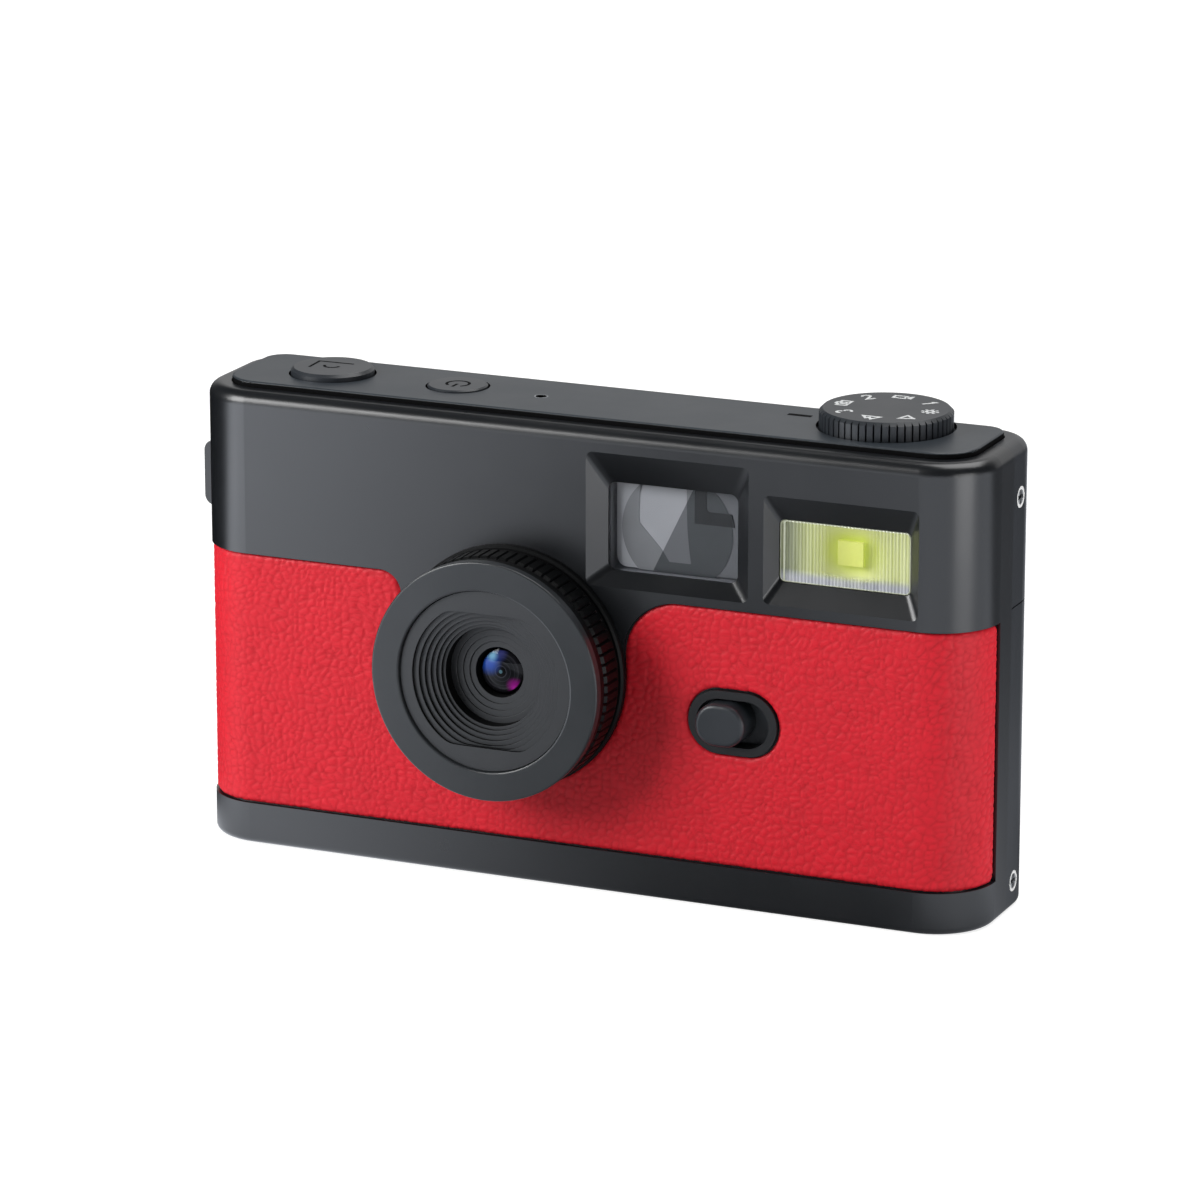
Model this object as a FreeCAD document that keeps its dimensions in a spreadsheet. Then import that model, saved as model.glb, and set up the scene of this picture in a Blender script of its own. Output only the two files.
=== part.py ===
import FreeCAD, Part
import math
import os

import Sketcher

# Retro digital camera, in millimetres, with +Z up and the lens looking along -Y.
# x = 0 is the middle of the casing's width, y = 0 the middle of its depth, z = 0 its base.


class Length:
    """A length known as a number and as an expression over the cells of the sheet."""

    def __init__(self, value, text):
        self.value = float(value)
        self.text = text

    def joined(self, sign, other, result):
        text = other.text if isinstance(other, Length) else repr(other)
        return Length(result, f"({self.text} {sign} {text})")

    def __add__(self, other):
        return self.joined("+", other, self.value + float(other))

    def __sub__(self, other):
        return self.joined("-", other, self.value - float(other))

    def __mul__(self, other):
        return self.joined("*", other, self.value * float(other))

    def __truediv__(self, other):
        return self.joined("/", other, self.value / float(other))

    def __neg__(self):
        return Length(-self.value, f"(0 - {self.text})")

    def __float__(self):
        return self.value


doc = FreeCAD.newDocument("RetroCamera")
sheet = doc.addObject("Spreadsheet::Sheet", "Sizes")
sheet.Label = "sizes"
cells = []


def size(alias, value, note):
    """Write one driving dimension into the sheet and give it back as a Length."""
    cells.append(alias)
    row = len(cells)
    sheet.set(f"A{row}", note)
    sheet.set(f"B{row}", str(value))
    sheet.setAlias(f"B{row}", alias)
    return Length(value, f"Sizes.{alias}")


# Casing
body_width = size("body_width", 118.0, "width of the casing")
body_depth = size("body_depth", 24.0, "depth of the casing without the lens")
body_height = size("body_height", 66.0, "height of the casing to the top of its rim")
half_width = body_width / 2
wall = size("wall", 1.8, "wall of the casing")
base_wall = size("base_wall", 1.8, "thickness of the base")
front_corner = size("front_corner", 8.7, "plan radius of the front corners")
rear_corner = size("rear_corner", 6.4, "plan radius of the rear corners")
rim_round = size("rim_round", 1.8, "rounding of the rim's outer edge")
base_round = size("base_round", 1.0, "rounding of the base's outer edge")
rim_inset = size("rim_inset", 3.1, "width of the rim round the top plate")
rim_drop = size("rim_drop", 2.5, "depth of the rim down to the plate's seat")
ledge_inset = size("ledge_inset", 4.6, "width of the ledge that carries the plate")
ledge_thick = size("ledge_thick", 1.5, "thickness of that ledge")
parting = size("parting", 1.5, "place of the joint between front and rear casing, along the depth")
seam_height = size("seam_height", 43.5, "height of the joint between the rear covers")
seam_gap = size("seam_gap", 0.2, "open line of that joint")
fit_gap = size("fit_gap", 0.05, "gap round a fixed piece in its seat")
running_gap = size("running_gap", 0.05, "radial gap of a turning fit")
free_gap = size("free_gap", 0.3, "gap beside a piece that moves")
stop_gap = size("stop_gap", 0.1, "gap between a retained flange and its stop")

# Leather and the black field round the lens
ring_radius = size("ring_radius", 17.0, "radius over the knurled ring and the front ring")
leather_low = size("leather_low", 6.0, "lower edge of the leather's recess")
leather_top = size("leather_top", 42.75, "upper edge of the leather's recess")
leather_wrap = size("leather_wrap", 0.4, "how far the leather's recess runs past the corners")
leather_recess = size("leather_recess", 0.75, "depth of the leather's recess")
leather_sink = size("leather_sink", 0.22, "how far the leather lies below the casing")
leather_groove = size("leather_groove", 0.2, "open line round the leather")
leather_round = size("leather_round", 1.2, "corner radius of the leather's ends")
field_margin = size("field_margin", 0.17, "how much narrower the black field is than the ring")
boss_half_width = ring_radius - field_margin
boss_left_flare = size("boss_left_flare", 3.35, "radius of its left flare")
boss_right_flare = size("boss_right_flare", 8.0, "radius of its right flare")

# Lens, along its axis outwards from the front face
lens_x = size("lens_x", -9.33, "place of the lens axis across the casing")
lens_z = size("lens_z", 31.2, "height of the lens axis")
flange_margin = size("flange_margin", 0.3, "rim of the lens base flange past the ring")
flange_radius = ring_radius + flange_margin
flange_height = size("flange_height", 1.2, "height of the lens base flange")
knurl_depth = size("knurl_depth", 0.45, "depth of the knurl on the ring")
knurl_count = 76
ring_band = size("ring_band", 1.8, "thickness of the knurled ring")
barrel_radius = ring_radius - ring_band
barrel_wall = size("barrel_wall", 1.8, "wall of the lens barrel")
barrel_bore = barrel_radius - barrel_wall
barrel_reach = size("barrel_reach", 8.0, "reach of the barrel in front of the casing")
barrel_root = size("barrel_root", 3.2, "depth of the barrel behind the front face")
barrel_rim = size("barrel_rim", 1.4, "rim of the barrel's flange inside the casing")
barrel_flange = barrel_radius + barrel_rim
barrel_floor = size("barrel_floor", 1.2, "thickness of the barrel's floor")
front_ring_thick = size("front_ring_thick", 1.4, "thickness of the front ring")
front_ring_width = size("front_ring_width", 4.1, "width of the front ring")
front_ring_bore = ring_radius - front_ring_width
ring_bevel = size("ring_bevel", 0.3, "bevel of the front ring")
baffle_sink = size("baffle_sink", 0.5, "how far the baffle's face lies below the front ring")
baffle_lip = size("baffle_lip", 1.8, "thickness of the baffle's outer disc")
baffle_space = size("baffle_space", 1.4, "space round the baffle's tube")
baffle_tube = barrel_bore - baffle_space
step_wall = size("step_wall", 1.0, "wall of the baffle's tube at its first step")
step_radius = baffle_tube - step_wall
step_cheek = size("step_cheek", 1.45, "how much the flats cut into the first step")
step_flat = step_radius - step_cheek
step_drop = size("step_drop", 0.42, "depth of each outer step")
outer_steps = 6
deep_radius = size("deep_radius", 7.1, "radius of the deep step")
step_in = (step_radius - deep_radius) / outer_steps
deep_drop = size("deep_drop", 1.8, "depth of the deep step")
inner_drop = size("inner_drop", 0.2, "depth of each inner ring")
inner_in = size("inner_in", 0.875, "how much each inner ring is smaller")
inner_steps = 4
glass_radius = size("glass_radius", 3.4, "radius of the front glass")
glass_thick = size("glass_thick", 1.1, "thickness of the front glass at its middle")
glass_dome = size("glass_dome", 9.0, "radius of the front glass's dome")
cell_radius = size("cell_radius", 6.0, "outer radius of the lens cell")
cell_bore = size("cell_bore", 2.9, "bore of the lens cell")
cell_root = size("cell_root", 4.4, "depth of the lens cell behind the front face")
rear_glass_thick = size("rear_glass_thick", 1.4, "thickness of the rear glass")
holder_radius = size("holder_radius", 9.0, "outer radius of the sensor holder")
holder_bore = size("holder_bore", 7.6, "bore of the sensor holder")
holder_depth = size("holder_depth", 3.4, "depth of the sensor holder")
sensor_side = size("sensor_side", 8.0, "side of the image sensor")
sensor_thick = size("sensor_thick", 1.0, "thickness of the image sensor")
filter_side = size("filter_side", 7.0, "side of the infrared filter")
filter_thick = size("filter_thick", 0.3, "thickness of the infrared filter")
sensor_board_side = size("sensor_board_side", 22.0, "side of the sensor board")
board_thick = size("board_thick", 1.2, "thickness of every circuit board")

# Viewfinder
view_left = size("view_left", 1.9, "left edge of the viewfinder recess")
view_right = size("view_right", 25.9, "right edge of the viewfinder recess")
view_low = size("view_low", 44.0, "lower edge of the viewfinder recess")
view_high = size("view_high", 62.9, "upper edge of the viewfinder recess")
view_corner = size("view_corner", 1.0, "corner radius of the viewfinder recess")
view_depth = size("view_depth", 2.2, "depth of the viewfinder recess")
view_glass_left = size("view_glass_left", 4.3, "left edge of the viewfinder window")
view_glass_right = size("view_glass_right", 23.5, "right edge of the viewfinder window")
view_glass_low = size("view_glass_low", 45.9, "lower edge of the viewfinder window")
view_glass_high = size("view_glass_high", 58.4, "upper edge of the viewfinder window")
view_glass_corner = size("view_glass_corner", 1.2, "corner radius of the viewfinder window")
pane_wall = size("pane_wall", 0.3, "lip in front of each pane")
pane_lip = size("pane_lip", 1.1, "overlap of each pane behind its lip")
pane_thick = size("pane_thick", 1.0, "thickness of each pane")
backing_depth = size("backing_depth", 4.6, "depth of the block behind the two windows")
backing_rim = size("backing_rim", 2.4, "rim of that block round the windows")
tunnel_wall = size("tunnel_wall", 0.9, "wall of the viewfinder tunnel")
eye_width = size("eye_width", 12.0, "width of the eyepiece opening")
eye_height = size("eye_height", 8.4, "height of the eyepiece opening")
eye_thick = size("eye_thick", 1.2, "thickness of the eyepiece glass")
eye_frame_rim = size("eye_frame_rim", 1.6, "rim of the eyepiece frame")
eye_frame_proud = size("eye_frame_proud", 0.8, "how far the eyepiece frame stands out")

# Flash
flash_left = size("flash_left", 28.1, "left edge of the flash recess")
flash_right = size("flash_right", 50.5, "right edge of the flash recess")
flash_low = size("flash_low", 44.2, "lower edge of the flash recess")
flash_high = size("flash_high", 59.4, "upper edge of the flash recess")
flash_corner = size("flash_corner", 0.9, "corner radius of the flash recess")
flash_depth = size("flash_depth", 2.0, "depth of the flash recess")
flash_glass_left = size("flash_glass_left", 29.6, "left edge of the flash window")
flash_glass_right = size("flash_glass_right", 48.7, "right edge of the flash window")
flash_glass_low = size("flash_glass_low", 47.0, "lower edge of the flash window")
flash_glass_high = size("flash_glass_high", 55.8, "upper edge of the flash window")
flash_glass_corner = size("flash_glass_corner", 0.8, "corner radius of the flash window")
reflector_wall = size("reflector_wall", 0.7, "wall of the flash reflector")
reflector_depth = size("reflector_depth", 2.0, "depth of the flash reflector")
emitter_width = size("emitter_width", 3.65, "width of the flash emitter")
emitter_height = size("emitter_height", 3.4, "height of the flash emitter")
emitter_thick = size("emitter_thick", 0.6, "thickness of the flash emitter")

# Front slider
slider_x = size("slider_x", 23.74, "middle of the slider's frame across the casing")
slider_z = size("slider_z", 26.7, "height of the slider's middle")
slider_length = size("slider_length", 13.05, "length of the slider's frame")
slider_height = size("slider_height", 9.0, "height of the slider's frame")
slot_length = size("slot_length", 10.7, "length of the slider's slot")
slot_height = size("slot_height", 6.7, "height of the slider's slot")
knob_length = size("knob_length", 7.3, "length of the slider's knob")
knob_height = size("knob_height", 6.0, "height of the slider's knob")
knob_proud = size("knob_proud", 2.0, "how far the knob stands out")
knob_start = size("knob_start", 0.5, "gap between knob and slot at the knob's left end")
knob_round = size("knob_round", 0.6, "rounding of the knob's outer edge")
slider_travel = size("slider_travel", 2.6, "travel of the slider")
slider_flange = size("slider_flange", 1.1, "rim of the frame's flange inside the casing")
slider_flange_thick = size("slider_flange_thick", 0.6, "thickness of that flange")
slider_plate_thick = size("slider_plate_thick", 0.8, "thickness of the knob's cover plate")
slider_cover = size("slider_cover", 0.3, "overlap of the cover plate past the slot")
peg_side = size("peg_side", 1.5, "side of the peg that drives the slide switch")
peg_reach = size("peg_reach", 0.9, "length of that peg")
switch_height = size("switch_height", 6.4, "height of the slide switch")
switch_depth = size("switch_depth", 3.0, "depth of the slide switch")
switch_margin = size("switch_margin", 3.0, "body of the slide switch past its slot")

# Top plate and its controls
plate_raise = size("plate_raise", 0.85, "how far the plate stands above the rim")
plate_gap = size("plate_gap", 0.15, "open line round the plate")
plate_thick = size("plate_thick", 1.5, "thickness of the plate's face")
plate_skirt = size("plate_skirt", 1.2, "thickness of the plate's skirt")
plate_round = size("plate_round", 0.35, "rounding of the plate's edge")
control_y = size("control_y", 0.5, "place of the two buttons along the depth")
shutter_inset = size("shutter_inset", 16.5, "place of the shutter button, from the left end")
shutter_x = shutter_inset - half_width
shutter_hole = size("shutter_hole", 6.2, "radius of the shutter button's hole")
shutter_proud = size("shutter_proud", 1.0, "how far the shutter button stands out")
shutter_travel = size("shutter_travel", 0.8, "travel of the shutter button")
power_inset = size("power_inset", 35.9, "place of the power button, from the left end")
power_x = power_inset - half_width
power_hole = size("power_hole", 4.54, "radius of the power button's hole")
power_proud = size("power_proud", 0.3, "how far the power button stands out")
power_travel = size("power_travel", 0.3, "travel of the power button")
button_flange = size("button_flange", 0.7, "rim of a button's flange past its hole")
button_flange_thick = size("button_flange_thick", 0.65, "thickness of a button's flange")
button_bevel = size("button_bevel", 0.4, "bevel of a button's face")
switch_body = size("switch_body", 4.4, "side of a tact switch")
switch_body_thick = size("switch_body_thick", 0.9, "height of a tact switch's body")
plunger_radius = size("plunger_radius", 1.1, "radius of a tact switch's plunger")
microphone_x = size("microphone_x", -9.9, "place of the microphone hole")
microphone_y = size("microphone_y", -0.5, "place of that hole along the depth")
microphone_hole = size("microphone_hole", 0.8, "radius of the microphone hole")
microphone_radius = size("microphone_radius", 2.0, "radius of the microphone")
microphone_thick = size("microphone_thick", 1.4, "thickness of the microphone")
index_inset = size("index_inset", 32.0, "middle of the index slot, from the right end")
index_x = half_width - index_inset
index_y = size("index_y", 3.7, "place of the index slot along the depth")
index_length = size("index_length", 3.3, "length of the index slot")
index_width = size("index_width", 0.6, "width of the index slot")
index_depth = size("index_depth", 0.4, "depth of the index slot")
dial_inset = size("dial_inset", 19.0, "place of the dial's axis, from the right end")
dial_x = half_width - dial_inset
dial_y = size("dial_y", 2.8, "place of the dial's axis along the depth")
dial_radius = size("dial_radius", 9.2, "radius of the dial")
dial_hole = size("dial_hole", 9.6, "radius of the recess that the dial sits in")
dial_recess = size("dial_recess", 0.8, "depth of that recess")
dial_proud = size("dial_proud", 2.6, "height of the dial above the plate")
dial_bevel = size("dial_bevel", 0.5, "bevel of the dial's face")
dial_knurl_depth = size("dial_knurl_depth", 0.4, "depth of the knurl on the dial")
dial_knurl_count = 54
shaft_radius = size("shaft_radius", 2.5, "radius of the dial's shaft")
shaft_socket = size("shaft_socket", 1.4, "depth of the shaft's socket in the dial")
plunger_rise = size("plunger_rise", 0.5, "rise of a tact switch's plunger")
shaft_depth = size("shaft_depth", 2.2, "reach of the shaft into the encoder")
collar_radius = size("collar_radius", 3.4, "radius of the collar that keeps the dial in")
collar_thick = size("collar_thick", 0.4, "thickness of that collar")
encoder_side = size("encoder_side", 9.0, "side of the rotary encoder")
encoder_thick = size("encoder_thick", 2.6, "height of the rotary encoder")
top_board_left_inset = size("top_board_left_inset", 9.0, "left end of the button board, from the left end")
top_board_left = top_board_left_inset - half_width
top_board_right = size("top_board_right", -2.0, "right end of the button board")
dial_board_left_inset = size("dial_board_left_inset", 30.0, "left end of the dial board, from the right end")
dial_board_left = half_width - dial_board_left_inset
dial_board_right_inset = size("dial_board_right_inset", 8.0,
                              "right end of the dial board, from the right end")
dial_board_right = half_width - dial_board_right_inset
board_edge = size("board_edge", 0.4, "gap beside a board's long edge")

# Boards, display and keys at the rear
main_board_y = size("main_board_y", 4.9, "front face of the main board")
main_board_left = size("main_board_left", -20.0, "left edge of the main board")
main_board_right_inset = size("main_board_right_inset", 5.0,
                              "right edge of the main board, from the right end")
main_board_right = half_width - main_board_right_inset
main_board_low = size("main_board_low", 4.0, "lower edge of the main board")
main_board_high = size("main_board_high", 41.0, "upper edge of the main board")
post_radius = size("post_radius", 2.2, "radius of the main board's posts")
post_left = size("post_left", 9.0, "place of the left posts")
post_right_inset = size("post_right_inset", 8.0, "place of the right posts, from the right end")
post_right = half_width - post_right_inset
post_low = size("post_low", 15.0, "height of the lower posts")
post_high = size("post_high", 37.5, "height of the upper posts")
board_screw_radius = size("board_screw_radius", 0.8, "radius of a board screw's shank")
board_screw_reach = size("board_screw_reach", 4.0, "length of a board screw in its post")
board_head_radius = size("board_head_radius", 1.6, "radius of a board screw's head")
board_head_thick = size("board_head_thick", 0.9, "thickness of a board screw's head")
can_left = size("can_left", -16.0, "left edge of the shield can")
can_low = size("can_low", 5.5, "lower edge of the shield can")
can_width = size("can_width", 20.0, "width of the shield can")
can_height = size("can_height", 12.0, "height of the shield can")
can_thick = size("can_thick", 2.0, "thickness of the shield can")
speaker_inset = size("speaker_inset", 12.6, "place of the speaker, from the right end")
speaker_x = half_width - speaker_inset
speaker_z = size("speaker_z", 16.0, "height of the speaker")
speaker_radius = size("speaker_radius", 6.5, "radius of the speaker")
speaker_thick = size("speaker_thick", 3.0, "thickness of the speaker")
grille_radius = size("grille_radius", 0.6, "radius of a speaker hole")
grille_ring = size("grille_ring", 3.2, "radius of the ring of speaker holes")
grille_count = 8
screen_left = size("screen_left", -24.0, "left edge of the display glass")
screen_right = size("screen_right", 36.0, "right edge of the display glass")
screen_low = size("screen_low", 3.6, "lower edge of the display glass")
screen_high = size("screen_high", 41.9, "upper edge of the display glass")
screen_corner = size("screen_corner", 1.5, "corner radius of the display glass")
screen_glass_thick = size("screen_glass_thick", 0.9, "thickness of the display glass")
screen_border = size("screen_border", 2.6, "border round the display's opening")
display_thick = size("display_thick", 2.6, "thickness of the display module")
display_margin = size("display_margin", 1.0, "display module past its glass at the sides")
key_inset = size("key_inset", 16.5, "middle column of the rear keys, from the left end")
key_x = key_inset - half_width
key_side = size("key_side", 6.5, "how far the two upper keys stand to each side")
key_radius = size("key_radius", 2.9, "radius of a rear key")
key_proud = size("key_proud", 0.5, "how far a rear key stands out")
key_travel = size("key_travel", 0.3, "travel of a rear key")
key_flange = size("key_flange", 0.6, "rim of a key's flange past its hole")
key_flange_thick = size("key_flange_thick", 0.7, "thickness of a key's flange")
key_bevel = size("key_bevel", 0.3, "bevel of a key's face")
key_first = size("key_first", 12.5, "height of the lowest key")
key_pitch = size("key_pitch", 7.8, "distance from key to key")
dome_radius = size("dome_radius", 2.0, "radius of a key's dome")
dome_thick = size("dome_thick", 0.5, "height of a key's dome")
key_board_left_inset = size("key_board_left_inset", 3.5, "left edge of the key board, from the left end")
key_board_left = key_board_left_inset - half_width
key_board_right_inset = size("key_board_right_inset", 29.5, "right edge of the key board, from the left end")
key_board_right = key_board_right_inset - half_width
key_board_low = size("key_board_low", 5.0, "lower edge of the key board")
key_board_high = size("key_board_high", 41.0, "upper edge of the key board")
socket_length = size("socket_length", 7.3, "length of the charging socket")
socket_width = size("socket_width", 9.0, "width of the charging socket")
socket_thick = size("socket_thick", 3.2, "thickness of the charging socket")
socket_skin = size("socket_skin", 0.35, "sheet of the charging socket")
socket_low = size("socket_low", 24.5, "lower end of the charging socket")
socket_sink = size("socket_sink", 0.3, "how far the socket's mouth lies inside the casing")
card_low = size("card_low", 7.5, "lower end of the card socket")
card_width = size("card_width", 14.0, "width of the card socket")
card_length = size("card_length", 14.5, "length of the card socket")
card_thick = size("card_thick", 1.9, "thickness of the card socket")
card_slot = size("card_slot", 11.4, "width of the card slot")
card_slot_thick = size("card_slot_thick", 1.1, "height of the card slot")

# Battery, its door, the base and the small parts outside
battery_left_inset = size("battery_left_inset", 5.6, "left side of the battery, from the left end")
battery_left = battery_left_inset - half_width
battery_width = size("battery_width", 30.0, "width of the battery")
battery_thick = size("battery_thick", 6.0, "thickness of the battery")
battery_length = size("battery_length", 50.0, "length of the battery")
battery_front = size("battery_front", -7.0, "front face of the battery")
battery_low = size("battery_low", 1.4, "lower end of the battery")
battery_play = size("battery_play", 0.2, "play round the battery in its holder")
holder_wall = size("holder_wall", 0.8, "wall of the battery holder")
contact_width = size("contact_width", 2.0, "width of a battery contact")
contact_gap = size("contact_gap", 0.5, "room for the contacts above the battery")
contact_pitch = size("contact_pitch", 5.0, "distance between battery contacts")
contact_count = 3
door_thick = size("door_thick", 1.05, "thickness of the battery door")
door_lip = size("door_lip", 1.2, "overlap of the door round its opening")
door_gap = size("door_gap", 0.25, "open line round the door")
door_neck = size("door_neck", 3.2, "width of the door's hinge neck")
hinge_radius = size("hinge_radius", 1.3, "radius of the hinge knuckle")
hinge_reach = size("hinge_reach", 2.1, "distance from the door's end to the hinge axis")
pin_radius = size("pin_radius", 0.5, "radius of the hinge pin")
tripod_inset = size("tripod_inset", 29.0, "place of the tripod insert, from the right end")
tripod_x = half_width - tripod_inset
tripod_y = size("tripod_y", -4.4, "place of the tripod insert along the depth")
tripod_bore = size("tripod_bore", 2.6, "radius of the tripod insert's thread, at its crests")
tripod_radius = size("tripod_radius", 4.0, "outer radius of the tripod insert")
tripod_depth = size("tripod_depth", 6.0, "depth of the tripod thread")
tripod_height = size("tripod_height", 7.2, "height of the tripod insert")
tripod_boss = size("tripod_boss", 1.4, "wall of the boss round the tripod insert")
screw_y = size("screw_y", 4.4, "place of the side screws along the depth")
screw_high = size("screw_high", 58.5, "height of the upper side screws")
screw_low = size("screw_low", 3.9, "height of the lower side screws")
screw_head = size("screw_head", 1.5, "radius of a side screw's head")
screw_head_thick = size("screw_head_thick", 0.6, "thickness of a side screw's head")
screw_shank = size("screw_shank", 0.8, "radius of a side screw's shank")
cross_length = size("cross_length", 2.0, "length of the cross in a side screw")
cross_width = size("cross_width", 0.6, "width of the cross in a side screw")
cross_depth = size("cross_depth", 0.4, "depth of the cross in a side screw")
screw_length = size("screw_length", 3.8, "length of a side screw")
tongue_thick = size("tongue_thick", 2.4, "thickness of the tongue that takes a side screw")
tongue_gap = size("tongue_gap", 0.2, "gap between that tongue and the cover's wall")
tongue_front = size("tongue_front", -3.0, "front end of the tongue")
tongue_rear = size("tongue_rear", 6.5, "rear end of the tongue")
tongue_half = size("tongue_half", 1.9, "half height of the tongue")
lug_low = size("lug_low", 46.5, "lower end of the strap lug")
lug_high = size("lug_high", 56.0, "upper end of the strap lug")
lug_front = size("lug_front", -2.6, "front face of the strap lug")
lug_rear = size("lug_rear", 1.1, "rear face of the strap lug")
lug_proud = size("lug_proud", 2.45, "how far the strap lug stands out")
lug_bar = size("lug_bar", 1.2, "thickness of the strap lug's bar")
lug_post = size("lug_post", 1.7, "height of the strap lug's posts")
lug_corner = size("lug_corner", 1.5, "outer corner radius of the strap lug")

# Building helpers
ZERO = Length(0.0, "0")
OUTWARD_FRONT = FreeCAD.Rotation(FreeCAD.Vector(1, 0, 0), 90)
OUTWARD_REAR = FreeCAD.Rotation(FreeCAD.Vector(1, 0, 0), -90)
UPWARD = FreeCAD.Rotation()
OUTWARD_RIGHT = FreeCAD.Rotation(FreeCAD.Vector(0, 1, 0), 90)
OUTWARD_LEFT = FreeCAD.Rotation(FreeCAD.Vector(0, 1, 0), -90)
QUARTER = 90
nodes = []


def bind(item, path, length):
    """Tie one property of an object to the sheet, or set it where it is a plain number."""
    if isinstance(length, Length):
        item.setExpression(path, length.text)


def seat(item, at, turn=UPWARD):
    """Place an object, with each coordinate tied to the sheet."""
    spot = FreeCAD.Vector(*[float(part) for part in at])
    item.Placement = FreeCAD.Placement(spot, turn)
    for axis, length in zip("xyz", at):
        bind(item, f"Placement.Base.{axis}", length)


def node(item, label):
    """Name a finished sub-part, which is written to a file of that name."""
    item.Label = label
    nodes.append(item)
    return item


def new_body(name):
    return doc.addObject("PartDesign::Body", name + "_body")


def plane_of(body, role):
    return next(item for item in body.Origin.OriginFeatures if item.Role == role)


def new_sketch(body, name, role="XY_Plane", lift=ZERO):
    """A sketch on one of its body's own planes, lifted along the plane's normal."""
    sketch = body.newObject("Sketcher::SketchObject", name)
    sketch.AttachmentSupport = (plane_of(body, role), [""])
    sketch.MapMode = "FlatFace"
    spot = FreeCAD.Vector(0, 0, float(lift))
    sketch.AttachmentOffset = FreeCAD.Placement(spot, FreeCAD.Rotation())
    bind(sketch, "AttachmentOffset.Base.z", lift)
    return sketch


def tie_point(sketch, geometry, end, place):
    """Fix one point of the sketch by two driving dimensions."""
    for kind, length in zip(("DistanceX", "DistanceY"), place):
        index = sketch.addConstraint(
            Sketcher.Constraint(kind, -1, 1, geometry, end, float(length))
        )
        bind(sketch, f"Constraints[{index}]", length)


def arc_point(arc, angle):
    u, v, radius = (float(part) for part in arc[:3])
    turn = math.radians(angle)
    return u + radius * math.cos(turn), v + radius * math.sin(turn)


def draw(sketch, items):
    """Draw a closed outline of points (u, v) and arcs (u, v, radius, from, to).

    An arc starts and ends on a quarter of its circle, and lines join what stands apart."""
    ends = []
    for item in items:
        if len(item) == 2:
            spot = (float(item[0]), float(item[1]))
            ends.append({"in": spot, "out": spot, "arc": None, "place": item})
            continue
        first, last = item[3], item[4]
        low, high = sorted((first, last))
        centre = FreeCAD.Vector(float(item[0]), float(item[1]), 0)
        circle = Part.Circle(centre, FreeCAD.Vector(0, 0, 1), float(item[2]))
        arc = Part.ArcOfCircle(circle, math.radians(low), math.radians(high))
        index = sketch.addGeometry(arc, False)
        tie_point(sketch, index, 3, item[:2])
        radius = sketch.addConstraint(Sketcher.Constraint("Radius", index, float(item[2])))
        bind(sketch, f"Constraints[{radius}]", item[2])
        for end, angle in ((1, low), (2, high)):
            level = "Horizontal" if angle % (2 * QUARTER) == 0 else "Vertical"
            sketch.addConstraint(Sketcher.Constraint(level, index, 3, index, end))
        order = (1, 2) if last > first else (2, 1)
        ends.append({"in": arc_point(item, first), "out": arc_point(item, last), "arc": index,
                     "order": order})
    join(sketch, ends)


def join(sketch, ends):
    """Join the drawn arcs and the corner points by straight lines, in order."""
    near = 1e-6
    for here, after in zip(ends, ends[1:] + ends[:1]):
        start, stop = here["out"], after["in"]
        if math.dist(start, stop) < near:
            continue
        line = Part.LineSegment(FreeCAD.Vector(*start, 0), FreeCAD.Vector(*stop, 0))
        index = sketch.addGeometry(line, False)
        here["line_out"] = index
        after["line_in"] = index
    for here in ends:
        if here["arc"] is None:
            tie_point(sketch, here["line_in"], 2, here["place"])
            sketch.addConstraint(
                Sketcher.Constraint("Coincident", here["line_out"], 1, here["line_in"], 2)
            )
            continue
        if "line_in" in here:
            sketch.addConstraint(
                Sketcher.Constraint("Coincident", here["line_in"], 2, here["arc"], here["order"][0])
            )
        if "line_out" in here:
            sketch.addConstraint(
                Sketcher.Constraint("Coincident", here["line_out"], 1, here["arc"], here["order"][1])
            )


def rectangle(left, right, low, high, corner=None):
    """The outline of a rectangle, with rounded corners where a radius is given."""
    if corner is None:
        return [(left, low), (right, low), (right, high), (left, high)]
    return [
        (left + corner, low + corner, corner, 2 * QUARTER, 3 * QUARTER),
        (right - corner, low + corner, corner, 3 * QUARTER, 4 * QUARTER),
        (right - corner, high - corner, corner, 0, QUARTER),
        (left + corner, high - corner, corner, QUARTER, 2 * QUARTER),
    ]


def oval(centre_u, centre_v, length, height):
    """The outline of a slot with round ends, lying along u."""
    radius = height / 2
    reach = length / 2 - radius
    return [
        (centre_u - reach, centre_v, radius, QUARTER, 3 * QUARTER),
        (centre_u + reach, centre_v, radius, 3 * QUARTER, 5 * QUARTER),
    ]


def disc(sketch, centre_u, centre_v, radius):
    """One circle of the sketch."""
    centre = FreeCAD.Vector(float(centre_u), float(centre_v), 0)
    circle = Part.Circle(centre, FreeCAD.Vector(0, 0, 1), float(radius))
    index = sketch.addGeometry(circle, False)
    tie_point(sketch, index, 3, (centre_u, centre_v))
    row = sketch.addConstraint(Sketcher.Constraint("Radius", index, float(radius)))
    bind(sketch, f"Constraints[{row}]", radius)


def feature(body, kind, name, sketch, length, back=False):
    """A Pad or a Pocket of a sketch; back turns it against the plane's usual side."""
    made = body.newObject(f"PartDesign::{kind}", name)
    made.Profile = sketch
    made.Length = float(length)
    bind(made, "Length", length)
    made.Reversed = back
    return made


def pad(body, name, outline, length, role="XY_Plane", lift=ZERO, back=False):
    sketch = new_sketch(body, name + "_outline", role, lift)
    draw(sketch, outline)
    return feature(body, "Pad", name, sketch, length, back)


def pocket(body, name, outline, length, role="XY_Plane", lift=ZERO, back=False):
    sketch = new_sketch(body, name + "_outline", role, lift)
    draw(sketch, outline)
    return feature(body, "Pocket", name, sketch, length, back)


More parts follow.
